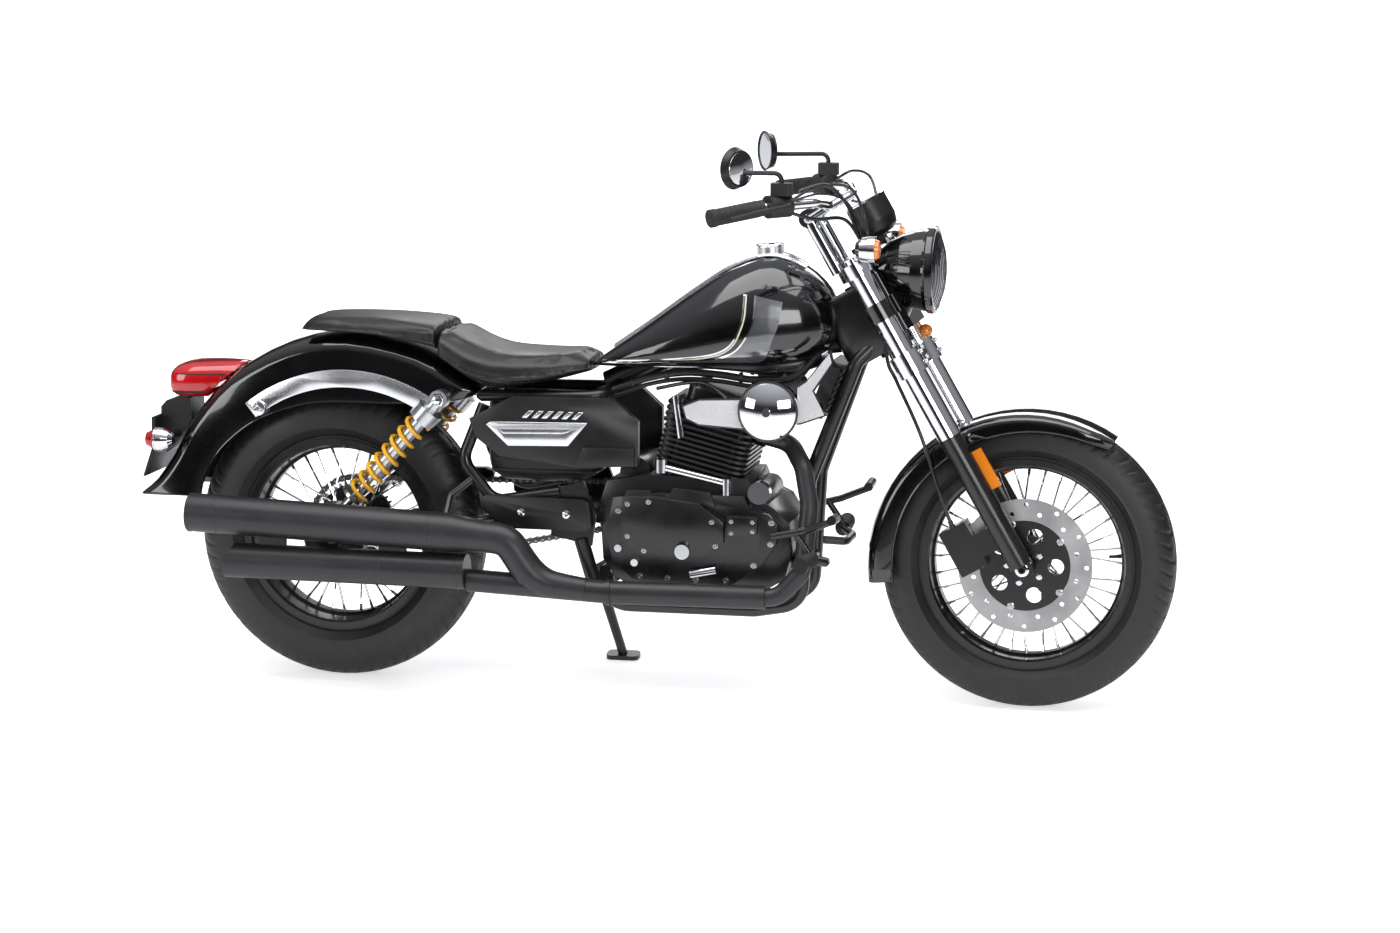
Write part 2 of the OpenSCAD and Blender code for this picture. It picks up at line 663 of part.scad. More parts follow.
// point of the chain at a distance s along it and a distance off its pitch line
function chain_point(s, off) =
  let (d = sprocket_front - sprocket_rear, c = norm(d), tilt = atan2(d[1], d[0]),
    wrap = acos((rear_run - front_run) / c), arc = rear_run * (360 - 2 * wrap) * PI / 180,
    line = sqrt(c * c - pow(rear_run - front_run, 2)), nose = front_run * 2 * wrap * PI / 180,
    q = s - arc, t = q - line, w = t - nose,
    f = q < line ? q / line : 1 - w / line,
    a = q < 0 ? tilt + wrap + s / rear_run * 180 / PI : q < line ? tilt - wrap :
      t < nose ? tilt - wrap + t / front_run * 180 / PI : tilt + wrap,
    k = q < 0 ? 0 : (t < 0 || t > nose) ? f : 1)
  sprocket_rear + k * d + (rear_run + k * (front_run - rear_run) + off) * [cos(a), sin(a)];

function chain_length() =
  let (d = sprocket_front - sprocket_rear, c = norm(d), wrap = acos((rear_run - front_run) / c))
  rear_run * (360 - 2 * wrap) * PI / 180 + 2 * sqrt(c * c - pow(rear_run - front_run, 2))
    + front_run * 2 * wrap * PI / 180;

module drive_chain() {
  waist = [7.4, 5, 5];
  pitch = chain_length() / chain_links;
  color([0.35, 0.33, 0.3]) side_plate(chain_y - 8, chain_y + 8) difference() {
    polygon([for (i = [0:3 * chain_links - 1]) chain_point(pitch * i / 3, waist[i % 3])]);
    polygon([for (i = [0:3 * chain_links - 1]) chain_point(pitch * i / 3, -waist[i % 3])]);
  }
}

module chain_guard() {
  color([0.04, 0.04, 0.04]) {
    side_plate(80, 104) polygon([[60, 452], [300, 458], [318, 452], [318, 447], [60, 447]]);
    side_plate(101, 104) polygon([[60, 447.5], [318, 447.5], [310, 430], [90, 422]]);
  }
}

// Steering

module fork_upper() {
  color([0.8, 0.8, 0.82]) along_fork() {
    both_sides() translate([0, fork_half, 0]) {
      translate([0, 0, 318]) cylinder(h = 152, r = fork_r + 1);
      translate([0, 0, 470]) cylinder(h = 50, r = fork_r + 8);
      translate([0, 0, 520]) cylinder(h = 186, r = fork_r - 1);
      translate([0, 0, 706]) cylinder(h = 30, r = fork_r + 6);
      translate([0, 0, 736]) cylinder(h = 10, r = 17);
    }
    translate([0, 0, 474]) linear_extrude(height = 42) clamp_outline();
    translate([0, 0, 706]) linear_extrude(height = 26) clamp_outline();
    translate([-stem_offset, 0, 476]) cylinder(h = 250, r = stem_r);
    translate([-stem_offset, 0, 732]) cylinder(h = 14, r = 20);
  }
}

module clamp_outline() {
  polygon([[-stem_offset - 24, -14], [-stem_offset - 20, -24], [-14, -fork_half], [20, -fork_half], [16, 0],
    [20, fork_half], [-14, fork_half], [-stem_offset - 20, 24], [-stem_offset - 24, 14]]);
}

module fork_lowers() {
  color([0.06, 0.06, 0.06]) along_fork() difference() {
    union() {
      both_sides() {
        translate([0, fork_half, 8]) cylinder(h = 310 - seat_gap, r = fork_r);
        translate([0, fork_half + 13, 0]) rotate([90, 0, 0]) cylinder(h = 34, r = 23);
      }
      rod([0, -120, 0], [0, 120, 0], axle_r);
      difference() {
        translate([-124, -98, 42]) cube([62, 56, 104]);
        rotate([90, 0, 0]) translate([0, 0, -disc_y - disc_t / 2 - 5])
          cylinder(h = disc_t + 10, r = disc_r + 5);
      }
      translate([-70, -98, 60]) cube([70, 12, 50]);
    }
    both_sides() rod([0, 94, 0], [0, 121, 0], axle_socket_r);
  }
}

module front_fender() {
  h = front_fender_w / 2;
  centre = [wheelbase - 3, front_tyre_r - 17];
  rows = [for (i = [0:24]) let (a = 57 + 129 * i / 24)
    [centre[0] + front_fender_r * cos(a), centre[1] + front_fender_r * sin(a), a + 180,
      h - (i == 0 ? 12 : i == 1 ? 4 : 0), 18 + 44 * pow(i / 24, 0.6)]];
  color([0.02, 0.02, 0.02]) {
    skin([for (r = reversed(rows)) fender_loop(r, sheet_t)], folded = true);
    both_sides() along_fork() translate([-10, h - 2, 268])
      cube([30, fork_half - fork_r - h + 2 - seat_gap, 44]);
  }
}

module handlebar() {
  half = [[1046, 62, 1040], [1108, 140, 1078], [1088, 216, 1088], [1000, 300, 1084], [908, bar_half, 1067]];
  color([0.8, 0.8, 0.82]) {
    translate(steer_shift) {
      tube(concat([for (i = [4:-1:0]) mirrored(half[i])], half), bar_d / 2, 34);
      both_sides() translate([1046, 30, 1040]) rotate([-90, 0, 0]) cylinder(h = 30, r = 20);
    }
    both_sides() along_fork() translate([-48, 45, 732 + seat_gap]) linear_extrude(height = 122)
      rounded(30, 32, 12);
  }
}

module bar_controls() {
  q = [1088, 216, 1088];
  a = [1000, 300, 1084];
  b = [908, bar_half, 1067];
  u = unit(b - a);
  v = unit(q - a);
  color([0.03, 0.03, 0.03]) translate(steer_shift) both_sides() {
    difference() {
      union() {
        rod(a + 6 * u, b + 4 * u, 17);
        rod(b - 4 * u, b + 8 * u, 19);
        rod(a + 58 * v, a + 6 * v, 24);
      }
      rod(a - 4 * u, b + seat_gap * u, bar_d / 2 + seat_gap);
      rod(a + 70 * v, a - 4 * v, bar_d / 2 + seat_gap);
    }
    tube([a + 20 * v + [22, 6, 4], a + [60, 16, 6], a + 60 * u + [48, 40, 4], a + 122 * u + [44, 40, 0]],
      6, 20);
    translate(a + 34 * v + [6, 0, 35]) block(44, 36, 26, 8);
  }
}

module mirror_arm(p) {
  tube([[1030, 276, 1133.3], [1030, 276, 1153], p + [-6, 0, -8]], 5, 16);
  translate(p) rotate([0, 0, 32]) rotate([0, -90, 0]) {
    difference() {
      cylinder(h = 16, r1 = 36, r2 = 44);
      translate([0, 0, 12]) cylinder(h = 10, r = 40);
    }
    cylinder(h = 13, r = 38);
  }
}

module mirrors() {
  color([0.03, 0.03, 0.03]) translate(steer_shift) {
    mirror([0, 1, 0]) mirror_arm([950, 308, 1163]);
    mirror_arm([898, 298, 1156]);
  }
}

module instrument_pod() {
  color([0.03, 0.03, 0.03]) along_fork() translate([66, 0, 760]) {
    rotate_extrude() polygon([[0, 0], [26, 0], [40, 10], [46, 30], [46, 78], [41, 78], [41, 74], [0, 74]]);
    translate([-74, -18, -27.7]) cube([46, 36, 20]);
    translate([-74, -18, -10]) cube([78, 36, 12]);
  }
}

module headlamp_bucket() {
  color([0.02, 0.02, 0.02]) {
    translate(steer_shift + [1184, 0, 932]) rotate([0, 90, 0])
      rotate_extrude() polygon([[0, 0], [22, 0], [44, 12], [62, 32], [76, 58], [84, 84], [88, 108], [91, 116],
        [91, 130], [85, 130], [85, 112], [0, 112]]);
    difference() {
      along_fork() {
        translate([10, -76, 560]) cube([34, 152, 96]);
        both_sides() {
          translate([14, 58, 600]) cube([22, 18, 96]);
          translate([0, fork_half, 600]) cylinder(h = 40, r = 31);
        }
      }
      along_fork() both_sides() translate([0, fork_half, 590]) cylinder(h = 60, r = fork_r - 1 + seat_gap);
    }
  }
}

module headlamp_lens() {
  color([0.8, 0.85, 0.9, 0.4]) translate(steer_shift + [1184 + 112.5, 0, 932]) rotate([0, 90, 0])
    rotate_extrude() polygon([[0, 0], [84.5, 0], [84.5, 16], [70, 24], [50, 31], [25, 35], [0, 36]]);
}

module front_signals() {
  color([0.8, 0.8, 0.82]) both_sides() along_fork() {
    translate([50, 84, signal_w]) rotate([-90, 0, 0]) cylinder(h = 64, r = 9);
    translate([17.3, fork_half, signal_w]) rotate([0, 90, 0]) cylinder(h = 33, r = 8);
    translate([56, 166, signal_w]) rotate([0, 120, 0]) rotate_extrude() polygon([[0, -30], [14, -28], [24, -18],
      [28, 0], [28, 14], [25, 14], [25, 8], [0, 8]]);
  }
}

module amber_lenses() {
  color([0.95, 0.45, 0.02]) {
    both_sides() along_fork() {
      translate([56, 166, signal_w]) rotate([0, 120, 0]) translate([0, 0, 8 + seat_gap])
        cylinder(h = 14, r1 = 24, r2 = 18);
      translate([fork_r + seat_gap, fork_half - 4, 178]) cube([22, 8, 90]);
    }
    along_fork() {
      translate([38, 0, 536]) cylinder(h = 23.7, r = 6);
      translate([46, 0, 536]) sphere(r = 15);
    }
  }
}

// Wheels

// tyre outline as [radius, y]
function tyre_outline(r, w, bead) =
  let (foot_r = bead + 14, foot_h = w * 0.36)
  concat([[bead, -foot_h], [foot_r, -foot_h]],
    [for (i = [1:13]) let (a = -90 + 180 * i / 14)
      [foot_r + (r - foot_r) * power(cos(a), 0.85), w / 2 * power(sin(a), 0.72)]],
    [[foot_r, foot_h], [bead, foot_h]]);

function rim_outline(w, bead, depth) =
  let (h = w * 0.36 + seat_gap, r = bead - seat_gap)
  [[bead - depth, -13], [bead - depth, 13], [bead - depth + 6, 20], [bead - 8, h - 2], [bead - 4, h + 5],
    [bead + 9, h + 5], [bead + 9, h], [r, h], [r, -h], [bead + 9, -h], [bead + 9, -h - 5], [bead - 4, -h - 5],
    [bead - 8, 2 - h], [bead - depth + 6, -20]];

// laced spokes between a hub flange and the rim
module spoke_set(flange_r, flange_y, rim_r) {
  for (i = [0:spokes - 1]) {
    side = i % 2 == 0 ? 1 : -1;
    lay = floor(i / 2) % 2 == 0 ? 1 : -1;
    a = 360 * i / spokes;
    b = a + lay * 24;
    rod([flange_r * cos(b), side * flange_y, flange_r * sin(b)], [rim_r * cos(a), side * 7, rim_r * sin(a)],
      spoke_d / 2, $fn = 16);
  }
}

module front_tyre() {
  color([0.02, 0.02, 0.02]) turned_about(front_axle)
    polygon(tyre_outline(front_tyre_r, front_tyre_w, front_bead_r));
}

module front_wheel() {
  color([0.05, 0.05, 0.05]) {
    turned_about(front_axle) {
      polygon(rim_outline(front_tyre_w, front_bead_r, 16));
      polygon([[axle_r + clearance, -69], [16, -69], [16, -66], [30, -66], [30, -50], [46, -48], [46, -42],
        [34, -36], [30, 0], [34, 30], [46, 36], [46, 42], [26, 48], [16, 56], [16, 69],
        [axle_r + clearance, 69]]);
    }
    translate(front_axle) spoke_set(41, 39, front_bead_r - 14);
    translate(front_axle + [0, disc_y + disc_t / 2, 0]) rotate([90, 0, 0]) linear_extrude(height = disc_t)
      difference() {
        circle(disc_r - 46 - seat_gap);
        circle(29);
        for (i = [0:4]) {
          rotate(72 * i) translate([66, 0]) circle(17);
        }
      }
  }
}

module front_disc() {
  color([0.7, 0.7, 0.72]) translate(front_axle + [0, disc_y + disc_t / 2, 0]) rotate([90, 0, 0])
    linear_extrude(height = disc_t) difference() {
      union() {
        difference() {
          circle(disc_r);
          circle(disc_r - 46);
        }
      }
      for (i = [0:23]) {
        rotate(15 * i) translate([disc_r - (i % 2 == 0 ? 12 : 30), 0]) circle(5, $fn = 24);
      }
    }
}

module rear_tyre() {
  color([0.02, 0.02, 0.02]) turned_about(rear_axle)
    polygon(tyre_outline(rear_tyre_r, rear_tyre_w, rear_bead_r));
}

module rear_wheel() {
  color([0.05, 0.05, 0.05]) {
    turned_about(rear_axle) {
      polygon(rim_outline(rear_tyre_w, rear_bead_r, 19));
      polygon([[axle_r + clearance, -88], [18, -88], [70, -84], [74, -60], [70, -52], [44, -46], [40, 0],
        [50, 40], [56, 46], [56, 84], [60, 84], [60, 86.5], [88, 86.5], [88, 93.5], [24, 93.5], [24, 101],
        [axle_r + clearance, 101]]);
    }
    translate(rear_axle) spoke_set(46, 43, rear_bead_r - 17);
  }
}

// Side stand

module side_stand() {
  color([0.05, 0.05, 0.05]) {
    difference() {
      union() {
        rod(stand_pivot - 1.5 * stand_axis, stand_pivot + 12.5 * stand_axis, 18);
        rod(stand_pivot + [0, 8, -4], stand_foot + [0, -2, 7], 12, 10);
      }
      rod(stand_pivot - 30 * stand_axis, stand_pivot + 40 * stand_axis, stand_pin_r + clearance);
    }
    translate(stand_foot) rotate([lean, 0, 0]) translate([0, 0, 5]) block(74, 44, 10, 14);
  }
}

parked() frame_upper();
parked() frame_cradle();
parked() swingarm();
parked() shock_bodies();
parked() shock_springs();
parked() rear_fender();
parked() fender_struts();
parked() plate_bracket();
parked() tail_lamp();
parked() rear_signals();
parked() rider_seat();
parked() pillion_seat();
parked() fuel_tank();
parked() tank_console();
parked() side_covers();
parked() side_grilles();
parked() crankcase();
parked() engine_covers();
parked() engine_trim();
parked() engine_cylinder();
parked() cylinder_head();
parked() air_cleaner();
parked() radiator();
parked() exhaust_pipes();
parked() mufflers();
parked() foot_controls();
parked() drive_chain();
parked() chain_guard();
parked() fork_upper();
parked() fork_lowers();
parked() front_fender();
parked() handlebar();
parked() bar_controls();
parked() mirrors();
parked() instrument_pod();
parked() headlamp_bucket();
parked() headlamp_lens();
parked() front_signals();
parked() amber_lenses();
parked() front_tyre();
parked() front_wheel();
parked() front_disc();
parked() rear_tyre();
parked() rear_wheel();
parked() side_stand();
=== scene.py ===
# %% [markdown]
# # A cruiser motorcycle, dressed in Blender
#
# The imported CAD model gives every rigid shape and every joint. This lesson lights it, gives each piece
# its finish, and adds what CAD is poor at: stitched seats, tyre tread, cables, lenses, screws and painted
# trim.

import json
import math

import bmesh
import bpy
import numpy as np
from mathutils import Matrix, Vector
from mathutils.bvhtree import BVHTree


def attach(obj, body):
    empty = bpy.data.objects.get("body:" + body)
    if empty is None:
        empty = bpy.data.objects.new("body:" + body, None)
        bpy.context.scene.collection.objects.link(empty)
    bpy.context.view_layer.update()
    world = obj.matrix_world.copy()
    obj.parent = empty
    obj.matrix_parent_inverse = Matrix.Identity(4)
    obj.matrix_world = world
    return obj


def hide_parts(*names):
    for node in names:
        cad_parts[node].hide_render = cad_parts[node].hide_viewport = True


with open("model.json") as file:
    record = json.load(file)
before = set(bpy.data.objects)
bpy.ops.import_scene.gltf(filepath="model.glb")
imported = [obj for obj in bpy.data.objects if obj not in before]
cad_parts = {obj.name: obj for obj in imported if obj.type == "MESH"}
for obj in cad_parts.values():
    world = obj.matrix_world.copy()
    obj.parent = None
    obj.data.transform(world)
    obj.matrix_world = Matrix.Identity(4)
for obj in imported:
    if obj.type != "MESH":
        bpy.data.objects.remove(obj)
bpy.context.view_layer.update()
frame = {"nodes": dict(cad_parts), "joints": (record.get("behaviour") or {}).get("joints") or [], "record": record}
nodes = frame["nodes"]
print("pieces in the frame:", len(nodes))

# %% [markdown]
# ## One upright drawing frame
#
# The machine stands leaning on its side stand, which makes every coordinate awkward. So shapes are drawn
# on the upright machine in millimetres, with zero under the rear axle, and one matrix leans them over.
# The front axle's joint tells where that drawing sits in the shared frame, so nothing has to be typed
# twice.

# %% Upright millimetres to leaned metres
LEAN = math.radians(7)
RAKE = math.radians(30)
WHEELBASE = 1520
FRONT_R = 315
REAR_R = 322
front_joint = next(j for j in frame["joints"] if j["name"] == "front_wheel_spin")
front_axle = Vector(front_joint["pos_m"])
lean_turn = Matrix.Rotation(-LEAN, 4, "X")
drawn_axle = lean_turn @ Vector((WHEELBASE, 0, FRONT_R)) / 1000
TO_FRAME = Matrix.Translation(front_axle - drawn_axle) @ lean_turn @ Matrix.Scale(0.001, 4)
FROM_FRAME = TO_FRAME.inverted()
FORK = TO_FRAME @ Matrix.Translation((WHEELBASE, 0, FRONT_R)) @ Matrix.Rotation(-RAKE, 4, "Y")
print("drawing origin in the frame:", [round(v, 4) for v in TO_FRAME.translation])

# %% [markdown]
# ## Camera
#
# The picture was taken from the right, a little ahead of the machine and above it, with a long lens. The
# camera's place was found by matching both wheels' outlines, and it is given here from the front axle.

# %% Camera
CAMERA_FROM_AXLE = Vector((0.9602, -7.71362, 2.42315))
YAW, PITCH, ROLL = 0.21358054, 0.27668952, -0.02241672
FOCAL_PIXELS, PICTURE_PIXELS, SENSOR_MM = 3800, 1400, 36
camera = bpy.data.objects.new("camera", bpy.data.cameras.new("camera"))
bpy.context.collection.objects.link(camera)
look = Vector((-math.sin(YAW) * math.cos(PITCH), math.cos(YAW) * math.cos(PITCH), -math.sin(PITCH)))
level = Vector((math.cos(YAW), math.sin(YAW), 0))
upright = level.cross(look)
right = math.cos(ROLL) * level + math.sin(ROLL) * upright
up = -math.sin(ROLL) * level + math.cos(ROLL) * upright
turn = Matrix((right, up, -look)).transposed()
camera.matrix_world = Matrix.Translation(front_axle + CAMERA_FROM_AXLE) @ turn.to_4x4()
camera.data.sensor_width = SENSOR_MM
camera.data.lens = FOCAL_PIXELS / PICTURE_PIXELS * SENSOR_MM
camera.data.clip_end = 100
bpy.context.scene.camera = camera
print("lens in mm:", round(camera.data.lens, 1))

# %% [markdown]
# ## Nodes in one line each
#
# A material or a world is a graph of nodes. Wired by hand, each link takes a line, so one helper adds a
# node, sets its inputs, and links every value that is another node's output.

# %% Adding shader nodes


def node_set(tree):
    """A function that adds nodes to one tree."""

    def add(kind, values=None, **props):
        made = tree.nodes.new("ShaderNode" + kind)
        for key, value in props.items():
            setattr(made, key, value)
        for key, value in (values or {}).items():
            if isinstance(value, bpy.types.NodeSocket):
                tree.links.new(value, made.inputs[key])
            else:
                made.inputs[key].default_value = value
        return made

    return add


print("node helper ready")

# %% [markdown]
# ## The room
#
# Black paint and chrome show only what they reflect, so the world is a pale room with a dark band at eye
# level, which gives round metal its contrast. Seen directly, it is plain white, as a catalogue picture
# has it.

# %% World
world = bpy.data.worlds.new("pale_room")
bpy.context.scene.world = world
world.use_nodes = True
world.node_tree.nodes.clear()
add = node_set(world.node_tree)
path = add("LightPath")
place = add("TexCoord")
height = add("SeparateXYZ", {0: place.outputs["Generated"]})
climb = add("MapRange", {"Value": height.outputs["Z"], "From Min": -1.0, "From Max": 1.0})
sky = add("ValToRGB", {"Fac": climb.outputs[0]})
sky.color_ramp.elements[0].color = (0.55, 0.57, 0.6, 1)
sky.color_ramp.elements[1].color = (0.85, 0.88, 0.95, 1)
for spot, tone in ((0.44, 0.45), (0.5, 0.035), (0.6, 0.05), (0.72, 0.35)):
    sky.color_ramp.elements.new(spot).color = (tone, tone, tone * 1.05, 1)
room = add("Background", {"Color": sky.outputs["Color"], "Strength": 0.75})
white = add("Background", {"Color": (1, 1, 1, 1), "Strength": 1.0})
mix = add("MixShader", {0: path.outputs["Is Camera Ray"], 1: room.outputs[0], 2: white.outputs[0]})
add("OutputWorld", {"Surface": mix.outputs[0]})
print("tones in the room:", len(sky.color_ramp.elements))

# %% [markdown]
# ## The floor
#
# The floor has to keep the machine's shadow and still end in white. It is matte with a faint glow, and
# the camera alone sees that glow grow away from the machine, so the floor's edge can't be told from the
# room.

# %% Floor
FADE_FROM, FADE_TO = 1.6, 3.4
bpy.ops.mesh.primitive_plane_add(size=14, location=(0, 0, -0.0005))
floor = bpy.context.object
floor.name = "floor"
floor_material = bpy.data.materials.new("pale_floor")
floor_material.use_nodes = True
floor_material.node_tree.nodes.clear()
add = node_set(floor_material.node_tree)
path = add("LightPath")
shaded = add("BsdfDiffuse", {"Color": (0.93, 0.93, 0.94, 1)})
spread = add("TexCoord")
far_off = add("VectorMath", {0: spread.outputs["Object"]}, operation="LENGTH")
fade = add("MapRange", {"Value": far_off.outputs["Value"], "From Min": FADE_FROM, "From Max": FADE_TO,
                        "To Min": 0.30, "To Max": 0.9})
seen = add("Math", {0: path.outputs["Is Camera Ray"], 1: fade.outputs[0]}, operation="MULTIPLY")
glow = add("Math", {0: seen.outputs[0], 1: 0.28}, operation="ADD")
bare = add("Emission", {"Color": (1, 1, 1, 1), "Strength": glow.outputs[0]})
lit = add("AddShader", {0: shaded.outputs[0], 1: bare.outputs[0]})
add("OutputMaterial", {"Surface": lit.outputs[0]})
floor.data.materials.append(floor_material)
print("floor fades from", FADE_FROM, "to", FADE_TO, "metres")

# %% [markdown]
# ## Lamps
#
# Large soft lamps draw the long highlights on the tank and mufflers. One hangs overhead, two wash the
# right side, and one on the far side edges the seat and the bars with light.

# %% Soft lamps


def soft_lamp(name, place, aim, width, height, power):
    """A rectangular area lamp at place that faces aim."""
    data = bpy.data.lights.new(name, "AREA")
    data.shape = "RECTANGLE"
    data.size = width
    data.size_y = height
    data.energy = power
    made = bpy.data.objects.new(name, data)
    bpy.context.collection.objects.link(made)
    made.location = place
    made.rotation_euler = (Vector(aim) - Vector(place)).to_track_quat("-Z", "Y").to_euler()


soft_lamp("overhead", (0.2, -0.4, 3.6), (0.2, 0.0, 0.4), 4.5, 2.6, 110)
soft_lamp("front_wash", (2.8, -4.6, 2.2), (0.2, 0.0, 0.5), 2.6, 1.6, 75)
soft_lamp("rear_wash", (-3.6, -3.4, 1.8), (-0.4, 0.0, 0.5), 2.0, 1.6, 40)
soft_lamp("far_rim", (0.0, 4.5, 2.4), (0.0, 0.0, 0.5), 4.0, 1.4, 60)
bpy.context.scene.view_settings.view_transform = "Standard"
print("lamps:", len(bpy.data.lights))

# %% [markdown]
# ## Finishes
#
# Every finish is one function: a principled shader whose colour, roughness and bump wander a little, as
# real paint, castings and rubber do. Pointiness is left out because it changes with the mesh; wear comes
# from noise instead.

# %% The finish function


def finish(name, color, rough, metal=0.0, coat=0.0, coat_rough=0.05, grain=400.0, bump=0.05, vary=0.12,
           rough_vary=0.08, dust=0.0, depth=0.0004):
    """A principled material whose colour, roughness and surface wander over the piece."""
    made = bpy.data.materials.new(name)
    made.use_nodes = True
    tree = made.node_tree
    tree.nodes.clear()
    add = node_set(tree)
    place = add("TexCoord")
    broad = add("TexNoise", {"Vector": place.outputs["Object"], "Scale": 9.0, "Detail": 5.0})
    fine = add("TexNoise", {"Vector": place.outputs["Object"], "Scale": grain, "Detail": 3.0})
    dark = [c * (1 - vary) for c in color]
    pale = [min(1, c * (1 + vary) + 0.002) for c in color]
    tint = add("ValToRGB", {"Fac": broad.outputs["Fac"]})
    tint.color_ramp.elements[0].color = (*dark, 1)
    tint.color_ramp.elements[0].position = 0.35
    tint.color_ramp.elements[1].color = (*pale, 1)
    tint.color_ramp.elements[1].position = 0.65
    base = tint.outputs["Color"]
    if dust:
        settle = add("TexNoise", {"Vector": place.outputs["Object"], "Scale": 22.0, "Detail": 8.0,
                                  "Roughness": 0.7})
        amount = add("MapRange", {"Value": settle.outputs["Fac"], "From Min": 0.5, "From Max": 0.75,
                                  "To Min": 0.0, "To Max": dust})
        base = add("Mix", {"Factor": amount.outputs[0], "A": base, "B": (0.32, 0.3, 0.27, 1)},
                   data_type="RGBA").outputs["Result"]
    gloss = add("MapRange", {"Value": broad.outputs["Fac"], "From Min": 0.3, "From Max": 0.7,
                             "To Min": max(0.02, rough - rough_vary), "To Max": rough + rough_vary})
    relief = add("Bump", {"Height": fine.outputs["Fac"], "Strength": bump, "Distance": depth})
    shader = add("BsdfPrincipled", {"Base Color": base, "Roughness": gloss.outputs[0], "Metallic": metal,
                                    "Normal": relief.outputs[0], "Coat Weight": coat,
                                    "Coat Roughness": coat_rough})
    add("OutputMaterial", {"Surface": shader.outputs[0]})
    return made


print("finish function ready")

# %% [markdown]
# ## Paint, plating, rubber and glass
#
# Nearly all of the machine is black, and gloss tells one black from another: lacquer, satin enamel, heat
# paint, plastic, vinyl and rubber. Chrome comes twice, sharp for tubes and softer for flat plates, which
# would otherwise mirror one dark spot of the room.

# %% The finishes
satin_black = finish("satin_black_enamel", (0.006, 0.006, 0.0065), 0.3, coat=0.25, coat_rough=0.16, grain=900)
gloss_black = finish("gloss_black_paint", (0.002, 0.002, 0.0023), 0.12, coat=1.0, coat_rough=0.03, bump=0.01,
                     rough_vary=0.03)
matte_black = finish("matte_black_heat_paint", (0.018, 0.018, 0.0195), 0.38, grain=1500, bump=0.12,
                     rough_vary=0.05)
chrome = finish("chrome_plate", (0.80, 0.81, 0.83), 0.05, metal=1.0, bump=0.01, rough_vary=0.03, vary=0.03)
soft_chrome = finish("soft_chrome_plate", (0.82, 0.83, 0.85), 0.24, metal=1.0, bump=0.01, rough_vary=0.06,
                     vary=0.04)
cast_bright = finish("polished_alloy", (0.86, 0.86, 0.87), 0.28, metal=0.45, bump=0.01, rough_vary=0.05,
                     vary=0.05)
steel = finish("brushed_steel", (0.55, 0.56, 0.58), 0.26, metal=1.0, bump=0.04)
spring_paint = finish("yellow_spring_enamel", (0.83, 0.42, 0.008), 0.25, coat=0.6)
black_plastic = finish("black_moulded_plastic", (0.007, 0.007, 0.0075), 0.36, grain=1400, bump=0.15)
rubber = finish("black_rubber", (0.012, 0.012, 0.012), 0.62, grain=800, bump=0.1, dust=0.06)
tyre_rubber = finish("tyre_rubber", (0.011, 0.011, 0.0115), 0.46, grain=600, bump=0.12, dust=0.025)
seat_vinyl = finish("seat_vinyl", (0.009, 0.009, 0.0095), 0.4, grain=700, bump=0.25)
red_lens = finish("red_lens", (0.5, 0.004, 0.006), 0.12, coat=1.0)
amber_lens = finish("amber_lens", (0.8, 0.22, 0.005), 0.14, coat=1.0)
disc_steel = finish("drilled_disc_steel", (0.5, 0.5, 0.5), 0.38, metal=1.0, bump=0.08, vary=0.2)
chain_steel = finish("oiled_chain_steel", (0.16, 0.15, 0.14), 0.35, metal=1.0, dust=0.1)
lamp_glass = finish("lamp_glass", (0.75, 0.78, 0.8), 0.06, coat=1.0)
print("finishes:", len(bpy.data.materials))

# %% [markdown]
# ## Painting the CAD pieces
#
# The record gives each piece a material slot. One table turns slots into finishes, so no piece is
# forgotten, and three flat plates then get the softer chrome.

# %% Finishes on the CAD pieces
SLOT_FINISH = {
    "satin_black": satin_black, "gloss_black": gloss_black, "matte_black": matte_black, "chrome": chrome,
    "steel": steel, "spring_yellow": spring_paint, "black_plastic": black_plastic, "black_rubber": rubber,
    "tyre": tyre_rubber, "seat_cover": seat_vinyl, "red_lens": red_lens, "amber_lens": amber_lens,
    "disc_steel": disc_steel, "chain_steel": chain_steel, "lamp_glass": lamp_glass,
}


def paint(node, material):
    """Gives a CAD node one finish, in every slot of its mesh."""
    mesh = nodes[node].data
    if not mesh.materials:
        mesh.materials.append(material)
    for index in range(len(mesh.materials)):
        mesh.materials[index] = material


for part in frame["record"]["subparts"]:
    paint(part["node"], SLOT_FINISH[part["material_slot"]])
for node in ("fender_struts", "side_grilles", "tank_console"):
    paint(node, soft_chrome)

# %% [markdown]
# ## Curves, angles and cross axes
#
# Cables, seams and beads follow a few chosen points, and a Catmull-Rom curve runs through all of them
# without a corner. Round things need evenly spaced angles and two directions across their axis.

# %% Curves, angles and cross axes


def curve_through(points, count):
    """Catmull-Rom points along a list of points."""
    p = np.array(points, float)
    t = np.linspace(0, len(p) - 1, count)
    i = np.minimum(t.astype(int), len(p) - 2)
    f = (t - i)[:, None]
    a, b, c, d = p[np.maximum(i - 1, 0)], p[i], p[i + 1], p[np.minimum(i + 2, len(p) - 1)]
    return 0.5 * (2 * b + (c - a) * f + (2 * a - 5 * b + 4 * c - d) * f**2 + (3 * b - 3 * c + d - a) * f**3)


def cross_axes(axis):
    """Two unit vectors at right angles to an axis and to each other."""
    axis = Vector(axis).normalized()
    helper = Vector((0, 0, 1)) if abs(axis.z) < 0.9 else Vector((1, 0, 0))
    first = helper.cross(axis).normalized()
    return first, axis.cross(first)


def around(count, first=0.0):
    """Evenly spaced angles round a circle, from a first one in degrees."""
    return [math.radians(first) + 2 * math.pi * k / count for k in range(count)]


